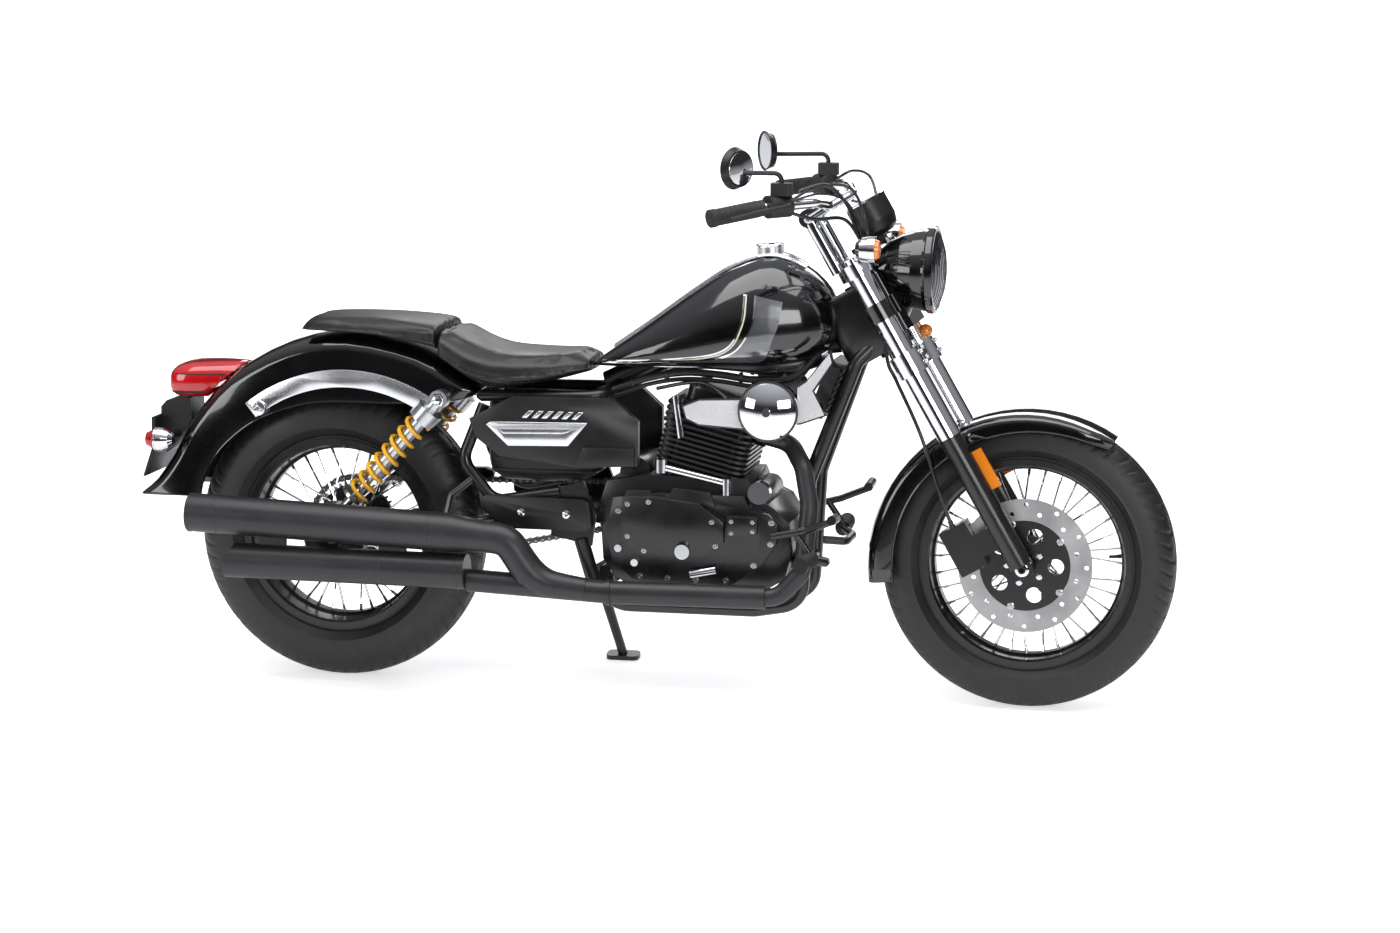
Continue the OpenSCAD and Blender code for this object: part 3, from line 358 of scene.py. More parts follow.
def bulged(value, power):
    """A number raised to a power with its sign kept, which turns a circle into a soft-cornered square."""
    return math.copysign(abs(value) ** power, value)


print("curve helpers ready")

# %% [markdown]
# ## A small workshop for added pieces
#
# Most added pieces are turned, swept or stacked shapes. This class gathers their points in millimetres,
# in the upright frame or the fork's, and hands them over as one mesh that rides on its body.

# %% Turned, swept and stacked shapes


class Shape:
    """Points and faces in millimetres, gathered until they become one piece."""

    def __init__(self, matrix=TO_FRAME):
        self.matrix = matrix
        self.points = []
        self.faces = []

    def grid(self, rows, closed=False, caps=False):
        """Faces between rows of points; closed rows join their ends."""
        base = len(self.points)
        across = len(rows[0])
        self.points += [tuple(p) for row in rows for p in row]
        for i in range(len(rows) - 1):
            for j in range(across if closed else across - 1):
                k = (j + 1) % across
                low, high = base + i * across, base + (i + 1) * across
                self.faces.append((low + j, low + k, high + k, high + j))
        if caps:
            self.faces.append(tuple(base + j for j in reversed(range(across))))
            self.faces.append(tuple(base + (len(rows) - 1) * across + j for j in range(across)))

    def turned(self, profile, centre, axis, sides=24):
        """A profile of (radius, distance along the axis) points, turned about that axis."""
        a, b = cross_axes(axis)
        n = Vector(axis).normalized()
        centre = Vector(centre)
        rows = []
        for radius, along in profile:
            rows.append([centre + n * along + (a * math.cos(w) + b * math.sin(w)) * radius
                         for w in around(sides)])
        self.grid(rows, closed=True, caps=True)

    def ring(self, loop, centre, axis, sides=64):
        """A closed loop of (radius, distance along the axis) points, turned with the middle left open."""
        a, b = cross_axes(axis)
        n = Vector(axis).normalized()
        rows = []
        for w in around(sides):
            rows.append([Vector(centre) + n * along + (a * math.cos(w) + b * math.sin(w)) * r
                         for r, along in loop])
        self.grid(rows + [rows[0]], closed=True)

    def swept(self, path, radius, sides=10):
        """A round tube along a path; radius is a number or one value for each point."""
        path = [Vector(p) for p in path]
        radii = radius if isinstance(radius, (list, np.ndarray)) else [radius] * len(path)
        side = None
        rows = []
        for i, p in enumerate(path):
            ahead = (path[min(i + 1, len(path) - 1)] - path[max(i - 1, 0)]).normalized()
            side = cross_axes(ahead)[0] if side is None else (side - ahead * side.dot(ahead)).normalized()
            other = ahead.cross(side)
            rows.append([p + (side * math.cos(w) + other * math.sin(w)) * radii[i] for w in around(sides)])
        self.grid(rows, closed=True, caps=True)

    def cable(self, points, count, radius, sides=10):
        """A round tube along the smooth curve through a few points."""
        self.swept(curve_through(points, count), radius, sides)

    def screw(self, centre, axis, radius=6.0, kind="hex", head=5.0):
        """A cap screw: a washer, then a hexagon head or a round socket head."""
        self.turned([(radius * 1.35, 0), (radius * 1.35, 1.2), (radius * 1.1, 1.4)], centre, axis, 20)
        if kind == "hex":
            self.turned([(radius, 1.2), (radius, head - 1), (radius * 0.86, head)], centre, axis, 6)
        else:
            socket = [(radius, 1.2), (radius, head - 0.8), (radius * 0.9, head), (radius * 0.55, head),
                      (radius * 0.5, head - 2.5), (0.1, head - 2.5)]
            self.turned(socket, centre, axis, 18)

    def make(self, name, material, body="frame", angle=35):
        """The gathered shape as one object in metres."""
        mesh = bpy.data.meshes.new(name)
        mesh.from_pydata([self.matrix @ Vector(p) for p in self.points], [], self.faces)
        work = bmesh.new()
        work.from_mesh(mesh)
        bmesh.ops.recalc_face_normals(work, faces=work.faces)
        work.to_mesh(mesh)
        work.free()
        mesh.shade_smooth()
        mesh.set_sharp_from_angle(angle=math.radians(angle))
        made = bpy.data.objects.new(name, mesh)
        bpy.context.collection.objects.link(made)
        mesh.materials.append(material)
        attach(made, body)
        print(name, "faces:", len(mesh.polygons))
        return made


print("workshop ready")

# %% [markdown]
# ## Finding a surface
#
# A seam or a stripe has to lie on a curved piece that CAD made. A search tree over that piece's mesh
# tells where a ray from beside the machine meets it. What a modifier makes is read back as a mesh, so the
# next step can work on its points.

# %% Search trees and applied modifiers


def tree_of(mesh):
    """A search tree over a mesh, for laying things on it."""
    return BVHTree.FromPolygons([v.co for v in mesh.vertices], [p.vertices for p in mesh.polygons])


def hit(tree, start, towards, lift=0.0):
    """Where a ray meets a surface, in upright millimetres, lifted off it along its normal."""
    a, b = TO_FRAME @ Vector(start), TO_FRAME @ Vector(towards)
    place, normal, _, _ = tree.ray_cast(a, (b - a).normalized())
    if place is None:
        return None
    if normal.dot(b - a) > 0:
        normal = -normal
    return FROM_FRAME @ (place + normal * lift / 1000)


def applied(made):
    """Puts the mesh that an object's modifiers make in place of its own."""
    mesh = bpy.data.meshes.new_from_object(made.evaluated_get(bpy.context.evaluated_depsgraph_get()))
    made.modifiers.clear()
    made.data = mesh
    return mesh


print("search tools ready")

# %% [markdown]
# ## Pressed and cast surfaces
#
# A CAD mesh has hard edges and flat facets, and gloss paint shows each one. Real sheet and castings have
# small round edges that catch the light. So some nodes are redrawn from their own mesh: vertices merged,
# edges rounded where a casting or pressing has them, and shading smoothed over the facets. The form stays
# what CAD made.

# %% Softer copies of some pieces
MERGE_METRES = 0.00001
FLAT_ANGLE, EDGE_ANGLE = math.radians(0.6), math.radians(40)


def softened(node, body, width, smooth):
    """A copy of a piece with smooth shading and, where width is given in metres, rounded edges."""
    work = bmesh.new()
    work.from_mesh(nodes[node].data)
    bmesh.ops.remove_doubles(work, verts=work.verts, dist=MERGE_METRES)
    if width:
        bmesh.ops.dissolve_limit(work, angle_limit=FLAT_ANGLE, verts=work.verts, edges=work.edges)
    mesh = bpy.data.meshes.new(node + "_soft")
    work.to_mesh(mesh)
    work.free()
    for material in nodes[node].data.materials:
        mesh.materials.append(material)
    made = bpy.data.objects.new(node + "_soft", mesh)
    bpy.context.collection.objects.link(made)
    if width:
        bevel = made.modifiers.new("bevel", "BEVEL")
        bevel.width = width
        bevel.segments = 2
        bevel.limit_method = "ANGLE"
        bevel.angle_limit = EDGE_ANGLE
        bevel.use_clamp_overlap = True
        applied(made)
    made.data.shade_smooth()
    made.data.set_sharp_from_angle(angle=math.radians(smooth))
    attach(made, body)
    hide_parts(node)
    print(node, "faces:", len(made.data.polygons))


for node, body, width, smooth in (
        ("fuel_tank", "frame", 0.0, 40), ("rear_fender", "frame", 0.0, 40),
        ("front_fender", "steering", 0.0, 40), ("tail_lamp", "frame", 0.0, 35),
        ("engine_covers", "frame", 0.004, 50), ("crankcase", "frame", 0.004, 50),
        ("side_covers", "frame", 0.0035, 50), ("fender_struts", "frame", 0.002, 50),
        ("side_grilles", "frame", 0.0012, 50)):
    softened(node, body, width, smooth)

# %% [markdown]
# ## Seats: foam under vinyl
#
# Foam under vinyl bulges between what holds it. Each seat's CAD solid is remeshed into even squares,
# because cloth needs them, and rounded a little. A short cloth simulation with some pressure then puffs
# it up.

# %% Remeshing and puffing
VOXEL = 0.0055
CLOTH_MOMENTS = 20


def points_of(mesh):
    """A mesh's vertices as an array."""
    flat = np.empty(len(mesh.vertices) * 3)
    mesh.vertices.foreach_get("co", flat)
    return flat.reshape(-1, 3)


def rounded_seat(node, name):
    """An evenly meshed copy of a seat with rounded corners."""
    work = bpy.data.objects.new(name, nodes[node].data.copy())
    bpy.context.collection.objects.link(work)
    remesh = work.modifiers.new("remesh", "REMESH")
    remesh.mode = "VOXEL"
    remesh.voxel_size = VOXEL
    solid = applied(work)
    soft = bmesh.new()
    soft.from_mesh(solid)
    for _ in range(6):
        bmesh.ops.smooth_vert(soft, verts=soft.verts, factor=0.5, use_axis_x=True, use_axis_y=True,
                              use_axis_z=True)
    soft.to_mesh(solid)
    soft.free()
    return work


def blown_up(work):
    cloth = work.modifiers.new("cloth", "CLOTH")
    cloth.settings.quality = 4
    cloth.settings.use_pressure = True
    cloth.settings.uniform_pressure_force = 4
    cloth.settings.tension_stiffness = 8
    cloth.settings.compression_stiffness = 8
    cloth.settings.effector_weights.gravity = 0
    for moment in range(1, CLOTH_MOMENTS + 1):
        bpy.context.scene.frame_set(moment)
    puffed = points_of(work.evaluated_get(bpy.context.evaluated_depsgraph_get()).data)
    work.modifiers.clear()
    bpy.context.scene.frame_set(1)
    return puffed


print("seat tools ready")

# %% [markdown]
# ## Seats: seams in the cover
#
# The puff is held to a few millimetres, and to nothing underneath, where the seat rests on the frame. A
# seam is finer than the remesh, so it comes last: the surface is divided once more and pressed in along a
# line.

# %% Holding the puff, pressing the seams
SKIN = 0.0015
SEAM_DEPTH, SEAM_WIDTH = 0.0022, 0.0035


def press_seams(mesh, seams):
    """Moves a mesh inwards along lines given in upright millimetres."""
    places = points_of(mesh)
    out = np.array([v.normal[:] for v in mesh.vertices])
    depth = np.zeros(len(places))
    for seam in seams:
        line = np.array([TO_FRAME @ Vector(p) for p in curve_through(seam, 260)])
        near = np.full(len(places), 9.0)
        for chunk in range(0, len(places), 4000):
            part = places[chunk:chunk + 4000, None, :] - line[None, :, :]
            near[chunk:chunk + 4000] = np.sqrt((part**2).sum(axis=2)).min(axis=1)
        depth += SEAM_DEPTH * np.exp(-((near / SEAM_WIDTH) ** 2))
    mesh.vertices.foreach_set("co", (places - out * depth[:, None]).ravel())


def cushion(node, name, cap, seams):
    """A puffed copy of a seat solid, grooved along its seams; cap is its largest puff in metres."""
    work = rounded_seat(node, name)
    solid = work.data
    normals = np.array([v.normal[:] for v in solid.vertices])
    rest = points_of(solid) - normals * SKIN
    solid.vertices.foreach_set("co", rest.ravel())
    shift = blown_up(work) - rest
    length = np.linalg.norm(shift, axis=1)
    limit = np.full(len(rest), cap)
    limit[normals[:, 2] < -0.2] = 0.0
    keep = np.minimum(1.0, limit / np.maximum(length, 1e-9))
    solid.vertices.foreach_set("co", (rest + shift * keep[:, None]).ravel())
    smooth = work.modifiers.new("fine", "SUBSURF")
    smooth.levels = smooth.render_levels = 1
    fine = applied(work)
    press_seams(fine, seams)
    fine.materials.clear()
    fine.materials.append(seat_vinyl)
    fine.shade_smooth()
    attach(work, "frame")
    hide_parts(node)
    puff = float((length * keep).max()) * 1000
    print(name, "largest puff in mm:", round(puff, 1), "faces:", len(fine.polygons))
    return work


print("seam tools ready")

# %% [markdown]
# ## Seats: both covers
#
# Each seam is drawn beside the machine as heights over length, and thrown on both sides of its seat. The
# rider's seat is softer than the pillion's, so it may puff up more.

# %% Seat covers
SEAT_LINES = {
    "pillion": ([-66, -40, 0, 60, 120, 180, 225], [786, 789, 791, 792, 790, 787, 784]),
    "rider": ([256, 300, 350, 400, 450, 500, 550, 592], [742, 714, 692, 680, 678, 682, 690, 696]),
}
seat_seams = {}
for seat, (xs, heights) in SEAT_LINES.items():
    tree = tree_of(nodes[seat + "_seat"].data)
    seat_seams[seat] = []
    for side in (-1, 1):
        found = [hit(tree, (x, 400 * side, z), (x, 0, z)) for x, z in zip(xs, heights)]
        seat_seams[seat].append([point for point in found if point is not None])
rider_cover = cushion("rider_seat", "rider_seat_cover", 0.006, seat_seams["rider"])
pillion_cover = cushion("pillion_seat", "pillion_seat_cover", 0.005, seat_seams["pillion"])

# %% [markdown]
# ## Seats: stitches
#
# A row of short threads beside each seam says that this is a sewn cover. Each thread is a tiny tube,
# thick in the middle, laid on the finished cover just above its groove.

# %% Stitches
STITCH_PITCH, STITCH_HALF, STITCH_UP = 6.5, 1.9, 2.6
stitch_thread = finish("seat_thread", (0.03, 0.03, 0.032), 0.55, grain=3000, bump=0.2)


def stitches(name, cover, lines):
    """Short threads laid along each line, a little to one side of its groove."""
    tree = tree_of(cover.data)
    thread = Shape()
    for line in lines:
        path = curve_through(line, 600)
        along = np.concatenate([[0], np.cumsum(np.linalg.norm(np.diff(path, axis=0), axis=1))])
        for s in np.arange(STITCH_PITCH, along[-1] - STITCH_PITCH, STITCH_PITCH):
            ends = []
            for e in (s - STITCH_HALF, s + STITCH_HALF):
                p = np.array([np.interp(e, along, path[:, k]) for k in range(3)])
                p[2] += STITCH_UP
                place, normal, _, _ = tree.find_nearest(TO_FRAME @ Vector(p))
                ends.append(FROM_FRAME @ (place + normal * 0.0003))
            thread.swept([ends[0], (ends[0] + ends[1]) / 2, ends[1]], [0.35, 0.6, 0.35], 5)
    thread.make(name, stitch_thread)


stitches("rider_seat_stitches", rider_cover, seat_seams["rider"])
stitches("pillion_seat_stitches", pillion_cover, seat_seams["pillion"])

# %% [markdown]
# ## Tyres
#
# The CAD tyre has the right section but a bare tread. This piece turns the same section in fine steps,
# and presses the grooves into it: two waving rings and slanted cuts over the shoulders, mirrored left to
# right.

# %% The tyre's section


def tyre_outline(radius, width, bead):
    """The tyre's section as (radius, y) points, from one bead over the tread to the other."""
    foot_r, foot_h = bead + 14, width * 0.36
    outline = [(bead, -foot_h), (bead + 7, -foot_h), (foot_r, -foot_h)]
    for a in np.linspace(-82, 82, 71):
        c, s = math.cos(math.radians(a)), math.sin(math.radians(a))
        outline.append((foot_r + (radius - foot_r) * c**0.85, width / 2 * bulged(s, 0.72)))
    return outline + [(foot_r, foot_h), (bead + 7, foot_h), (bead, foot_h)]


print("points across a tyre:", len(tyre_outline(FRONT_R, 110, 216)))

# %% [markdown]
# ## Tyres: the tread pattern
#
# The pattern repeats about every 62 mm, stretched so that a whole number of repeats goes round. Each
# point's distance to the nearest groove says how deep it lies.

# %% Depth of the tread pattern
TREAD_REPEAT, TREAD_DEPTH, SLANT = 62, 3.2, 0.62


def groove_depth(s, y, width, length):
    """Depth of the tread pattern at s along the tread and y across it."""
    pitch = length / round(length / TREAD_REPEAT)
    half = width / 2
    wave = 2.2 * np.sin(2 * math.pi * s / pitch)
    ring = np.abs(np.abs(y) - (0.2 * half + wave))
    cut = np.zeros_like(s) + 99.0
    for offset, low, high in ((0.0, 0.34, 0.94), (0.5, 0.5, 0.88)):
        drift = s - offset * pitch - SLANT * np.abs(y) - 3 * np.sin(np.abs(y) / 7)
        gap = np.abs((drift + pitch / 2) % pitch - pitch / 2)
        inside = (np.abs(y) > low * half) & (np.abs(y) < high * half)
        cut = np.where(inside, np.minimum(cut, gap), cut)
    near = np.minimum(ring, cut * 0.8)
    return TREAD_DEPTH * np.clip(1.6 - near / 2.0, 0, 1)


print("grooves up to", TREAD_DEPTH, "mm deep")

# %% [markdown]
# ## Tyres: turned and grooved
#
# Many steps round the tyre keep the edges of the grooves sharp. Two low ridges on each wall stand for the
# moulded rings beside the bead.

# %% Grooved tyres
TYRE_STEPS = 520


def grooved_tyre(name, node, centre, radius, width, bead, body):
    """A tyre whose tread is pressed in by the pattern."""
    outline = np.array(tyre_outline(radius, width, bead))
    turns = 2 * math.pi * np.arange(TYRE_STEPS) / TYRE_STEPS
    length = 2 * math.pi * radius
    r, y = outline[:, 0], outline[:, 1]
    s = turns[:, None] * radius + 0 * y[None, :]
    across = y[None, :] + 0 * s
    reach = np.clip((r - (radius - 0.36 * (radius - bead))) / 8, 0, 1)
    depth = groove_depth(s, across, width, length) * reach[None, :]
    ridge = 0.9 * np.exp(-(((r - bead - 22) / 1.6) ** 2)) + 0.7 * np.exp(-(((r - bead - 30) / 1.4) ** 2))
    rr = r[None, :] - depth + ridge[None, :] * 0.4
    yy = across + np.sign(across) * ridge[None, :]
    made = Shape()
    rows = []
    for i, w in enumerate(turns):
        c, q = math.cos(w), math.sin(w)
        rows.append([(centre[0] + rr[i, k] * c, centre[1] + yy[i, k], centre[2] + rr[i, k] * q)
                     for k in range(len(r))])
    made.grid(rows + [rows[0]])
    tyre = made.make(name, tyre_rubber, body, 40)
    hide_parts(node)


grooved_tyre("front_tyre_tread", "front_tyre", (WHEELBASE, 0, FRONT_R), FRONT_R, 110, 216, "front_wheel")
grooved_tyre("rear_tyre_tread", "rear_tyre", (0, 0, REAR_R), REAR_R, 150, 203, "rear_wheel")

# %% [markdown]
# ## Painted trim on the tank
#
# A stripe is paint, so it must follow the tank exactly. The stripe is drawn flat, beside the machine,
# filled with a fine grid, and every grid point is thrown against the tank and lifted by a third of a
# millimetre.

# %% Laying a ribbon on the tank
tank_tree = tree_of(nodes["fuel_tank"].data)


def ribbon_on_tank(name, upper, lower, material, side, count, across, lift):
    """A strip between two side-view lines of [x, z] points, laid on the tank."""
    top = curve_through([(x, 0, z) for x, z in upper], count)
    low = curve_through([(x, 0, z) for x, z in lower], count)
    made = Shape()
    rows = []
    for a, b in zip(top, low):
        row = []
        for f in np.linspace(0, 1, across):
            p = a * (1 - f) + b * f
            found = hit(tank_tree, (p[0], 400 * side, p[2]), (p[0], 0, p[2]), lift)
            if found is None:
                break
            row.append(found)
        if len(row) == across:
            rows.append(row)
    made.grid(rows)
    made.make(name, material)


print("ribbon helper ready")

# %% [markdown]
# ## The silver panel
#
# The panel lies between two side-view lines. Its rear edge keeps off the line that the bright trim
# follows, so black paint shows between the two.

# %% Silver panel
silver_paint = finish("silver_stripe_paint", (0.17, 0.175, 0.18), 0.22, metal=0.6, coat=1.0, vary=0.2)
rear_line = [(922, 882), (921, 840), (914, 812), (899, 780), (873, 760), (829, 748), (741, 738),
             (655, 731), (604, 728)]
front_line = [(1004, 868), (996, 820), (986, 792), (972, 758), (955, 738), (905, 735), (790, 733), (665, 727),
              (604, 724)]
panel_edge = [(x + 22, z - 1) if i < 3 else (x + 16, z - 5) if i < 6 else (x, z - 2)
              for i, (x, z) in enumerate(rear_line)]
for side, word in ((-1, "right"), (1, "left")):
    ribbon_on_tank("stripe_panel_" + word, panel_edge, front_line, silver_paint, side, 90, 14, 0.35)

# %% [markdown]
# ## Tank lines
#
# A bright line edges the silver panel, and a second one runs behind it with a cream line beside it. Each
# is a narrow ribbon between two offsets of one drawn curve, a touch higher than the panel so that it
# never flickers against it.

# %% Bright and cream lines
cream_paint = finish("cream_pinstripe", (0.75, 0.70, 0.52), 0.3, coat=1.0)


def beside(line, shift):
    """A side-view line of [x, z] points, moved sideways by a distance."""
    dense = curve_through([(x, 0, z) for x, z in line], 60)[:, [0, 2]]
    step = np.gradient(dense, axis=0)
    step /= np.linalg.norm(step, axis=1)[:, None]
    return dense + shift * np.column_stack([step[:, 1], -step[:, 0]])


for side, word in ((-1, "right"), (1, "left")):
    for name, line, near, wide, material, lift in (
            ("outer_line_", rear_line, 2.0, 3.2, chrome, 0.55),
            ("cream_line_", rear_line, -2.4, 3.4, cream_paint, 0.5),
            ("inner_line_", panel_edge, 0.0, 3.0, chrome, 0.6)):
        ribbon_on_tank("tank_" + name + word, beside(line, near), beside(line, near - wide), material, side,
                       110, 3, lift)

# %% [markdown]
# ## The filler cap
#
# The cap is a shallow turned disc, and small ribs round its rim give the fingers a hold and catch the
# light.

# %% Filler cap
cap = Shape()
cap_axis = Vector((-math.sin(math.radians(4)), 0, math.cos(math.radians(4))))
cap_centre = Vector((955, 0, 961)) + cap_axis * 16
cap.turned([(30.4, -3), (30.8, 0), (29, 2.6), (22, 4.2), (21, 3.2), (8, 3.8), (0.1, 3.9)],
           cap_centre, cap_axis, 48)
for w in around(24):
    rim = cap_centre + Vector((math.cos(w), math.sin(w), 0)) * 30.6
    cap.swept([rim + cap_axis * -2, rim + cap_axis * 1.2], 0.9, 6)
cap.make("filler_cap_rim", chrome)

# %% [markdown]
# ## Wire wheels
#
# The CAD wheels carry every spoke, painted with the rim. On the real machine the spokes are bright, so
# each one gets a polished sleeve from the same numbers, and a nipple where it meets the rim.

# %% Bright spokes, nipples and valves


def wheel_details(name, centre, flange_r, flange_y, rim_r, body):
    """Bright sleeves over 36 laced spokes, with their nipples and a valve."""
    bright = Shape()
    centre = Vector(centre)
    for i in range(36):
        side = 1 if i % 2 == 0 else -1
        lay = 1 if (i // 2) % 2 == 0 else -1
        a = math.radians(10 * i)
        b = a + math.radians(24) * lay
        inner = centre + Vector((flange_r * math.cos(b), side * flange_y, flange_r * math.sin(b)))
        outer = centre + Vector((rim_r * math.cos(a), side * 7, rim_r * math.sin(a)))
        along = (outer - inner).normalized()
        bright.swept([inner, outer], 2.35, 8)
        bright.swept([outer - along * 15, outer - along * 3, outer + along * 0.5], [3.1, 3.4, 3.9], 8)
        bright.turned([(4.0, -2.2), (4.4, 0), (3.0, 2.4), (0.1, 3.0)], inner, (0, side, 0), 10)
    bright.make(name + "_spokes_bright", chrome, body)
    stem = Shape()
    w = math.radians(5)
    low = centre + Vector((math.cos(w), 0, math.sin(w))) * (rim_r - 4)
    inward = Vector((-math.cos(w), 0, -math.sin(w)))
    stem.turned([(4.6, 0), (4.2, 8), (3.4, 10), (3.4, 24), (2.6, 26), (0.1, 26.5)], low, inward, 14)
    stem.make(name + "_valve_stem", rubber, body)


wheel_details("front_wheel", (WHEELBASE, 0, FRONT_R), 41, 39, 202, "front_wheel")
wheel_details("rear_wheel", (0, 0, REAR_R), 46, 43, 186, "rear_wheel")

# %% [markdown]
# ## Disc, hub and sprocket screws
#
# Five rivets hold the drilled disc to its carrier, and five screws hold that to the hub. The rear
# sprocket's six nuts show on the left side. All of them turn with their wheel.

# %% Disc rivets and wheel screws
DISC_FACE = -64.5
disc_rivets = Shape()
carrier_screws = Shape()
for w in around(5, 36):
    c, s = math.cos(w), math.sin(w)
    disc_rivets.turned([(7.5, -0.5), (7.5, 1.6), (5.5, 2.4), (5.2, 1.6), (0.1, 1.7)],
                       (WHEELBASE + 92 * c, DISC_FACE, FRONT_R + 92 * s), (0, -1, 0), 18)
    carrier_screws.screw((WHEELBASE + 38 * c, DISC_FACE, FRONT_R + 38 * s), (0, -1, 0), 5.0, "hex", 5)
disc_rivets.make("disc_rivets", steel, "front_wheel")
carrier_screws.make("disc_carrier_screws", chrome, "front_wheel")
sprocket_nuts = Shape()
for w in around(6):
    sprocket_nuts.screw((66 * math.cos(w), 93.5, REAR_R + 66 * math.sin(w)), (0, 1, 0), 6, "hex", 6)
sprocket_nuts.make("sprocket_nuts", steel, "rear_wheel")

# %% [markdown]
# ## Sprocket teeth and chain pins
#
# The CAD chain has the real outline of links around both sprockets. What is left is small: a riveted pin
# head on each link, on both faces, and the tips of the rear sprocket's teeth.

# %% The chain's pitch line
CHAIN_LINKS = 111
CHAIN_Y = 90
REAR_RUN, FRONT_RUN = 104.0, 46.0
sprocket_front = np.array([640.0, 392.0])
sprocket_rear = np.array([0.0, REAR_R])
apart = sprocket_front - sprocket_rear
centres = float(np.linalg.norm(apart))
tilt = math.atan2(apart[1], apart[0])
wrap = math.acos((REAR_RUN - FRONT_RUN) / centres)
rear_arc = REAR_RUN * (2 * math.pi - 2 * wrap)
straight = math.sqrt(centres**2 - (REAR_RUN - FRONT_RUN) ** 2)
front_arc = FRONT_RUN * 2 * wrap
loop_length = rear_arc + 2 * straight + front_arc


def chain_place(s):
    """The chain's pitch line at a distance along it, as (x, z)."""
    if s < rear_arc:
        k, angle = 0.0, tilt + wrap + s / REAR_RUN
    elif s < rear_arc + straight:
        k, angle = (s - rear_arc) / straight, tilt - wrap
    elif s < rear_arc + straight + front_arc:
        k, angle = 1.0, tilt - wrap + (s - rear_arc - straight) / FRONT_RUN
    else:
        k, angle = 1 - (s - rear_arc - straight - front_arc) / straight, tilt + wrap
    middle = sprocket_rear + apart * k
    reach = REAR_RUN + (FRONT_RUN - REAR_RUN) * k
    return middle[0] + reach * math.cos(angle), middle[1] + reach * math.sin(angle)


print("chain length in mm:", round(loop_length))

# %% [markdown]
# ## Pin heads and teeth
#
# A pin head is a small turned button, set on both faces of every link. A tooth is one flat outline
# between the sprocket's two faces.

# %% Chain pins and teeth
TOOTH = ((87, -0.05), (92, -0.03), (96, -0.012), (96, 0.012), (92, 0.03), (87, 0.05))
pins = Shape()
for i in range(CHAIN_LINKS):
    x, z = chain_place(loop_length * i / CHAIN_LINKS)
    for face in (-1, 1):
        pins.turned([(3.4, -0.6), (3.4, 0.9), (2.6, 1.5), (0.1, 1.6)], (x, CHAIN_Y + 8 * face, z),
                    (0, face, 0), 10)
pins.make("chain_pins", steel)
teeth = Shape()
for w in around(44):
    teeth.grid([[(r * math.cos(w + d), y, REAR_R + r * math.sin(w + d)) for r, d in TOOTH]
                for y in (87.4, 92.6)], closed=True, caps=True)
teeth.make("rear_sprocket_teeth", steel, "rear_wheel")

# %% [markdown]
# ## Grips
#
# A bare handlebar looks like a toy. Moulded rubber grips have fine ribs all round, so one profile with
# small waves is turned about the end of each bar.

# %% Grip ribs
GRIP_IN, GRIP_OUT = Vector((1000, 300, 1084)), Vector((908, 380, 1067))
grip_line = (GRIP_OUT - GRIP_IN).normalized()
grip_length = (GRIP_OUT - GRIP_IN).length
grips = Shape()
profile = []
for t in np.linspace(8, grip_length + 3, 150):
    rib = 0.9 * max(0.0, math.sin(2 * math.pi * t / 6.0)) ** 0.5 if 16 < t < grip_length - 4 else 0.0
    profile.append((17.1 + rib, t))
for side in (-1, 1):
    mirror_y = Vector((1, side, 1))
    grips.turned(profile, GRIP_IN * mirror_y, grip_line * mirror_y, 28)
grips.make("grip_ribs", rubber, "steering")

# %% [markdown]
# ## Mirrors
#
# Each mirror's glass is a shallow disc turned a little towards the rider. A bright back closes its shell.

# %% Mirror faces and backs
glass = finish("mirror_glass", (0.9, 0.92, 0.94), 0.02, metal=1.0, bump=0.0, vary=0.01, rough_vary=0.01)
mirror_glass = Shape()
mirror_backs = Shape()
turn_in = math.radians(32)
for place in (Vector((950, -308, 1163)), Vector((898, 298, 1156))):
    side = 1 if place.y > 0 else -1
    facing = Vector((-math.cos(turn_in), -side * math.sin(turn_in), 0))
    mirror_glass.turned([(39.6, 13.05), (39.4, 14.0), (20, 14.5), (0.1, 14.7)], place, facing, 48)
    mirror_backs.turned([(34.5, 0.2), (34, -1.6), (22, -4.0), (0.1, -5.0)], place, facing, 48)
mirror_glass.make("mirror_glass_faces", glass, "steering")
mirror_backs.make("mirror_bright_backs", chrome, "steering")

# %% [markdown]
# ## Cables
#
# Five cables run from the levers and the throttle down to the steering head, where a mechanic would route
# them. They start and end on the steering, so nothing tears when it turns.

# %% Handlebar cables
cable_skin = finish("cable_sheath", (0.006, 0.006, 0.006), 0.3, coat=0.4)
cables = Shape()
for side in (-1, 1):
    cables.cable([(1050, 250 * side, 1098), (1096, 214 * side, 1122), (1150, 130 * side, 1112),
                  (1176, 78 * side, 1030), (1172, 50 * side, 960), (1186, 34 * side, 920)], 60, 3.2)
    cables.cable([(1036, 262 * side, 1074), (1090, 232 * side, 1056), (1138, 150 * side, 1050),
                  (1160, 70 * side, 1000), (1180, 40 * side, 944), (1190, 26 * side, 930)], 60, 4.0)
cables.cable([(1044, -262, 1092), (1104, -224, 1108), (1144, -120, 1078), (1166, -48, 990),
              (1186, -14, 950)], 50, 2.6)
cables.make("handlebar_cables", cable_skin, "steering")

# %% [markdown]
# ## Brake hose
#
# The hose leaves the lever, follows the fork's leg and ends in a collar at the caliper. It is drawn along
# the fork, so it turns with it.

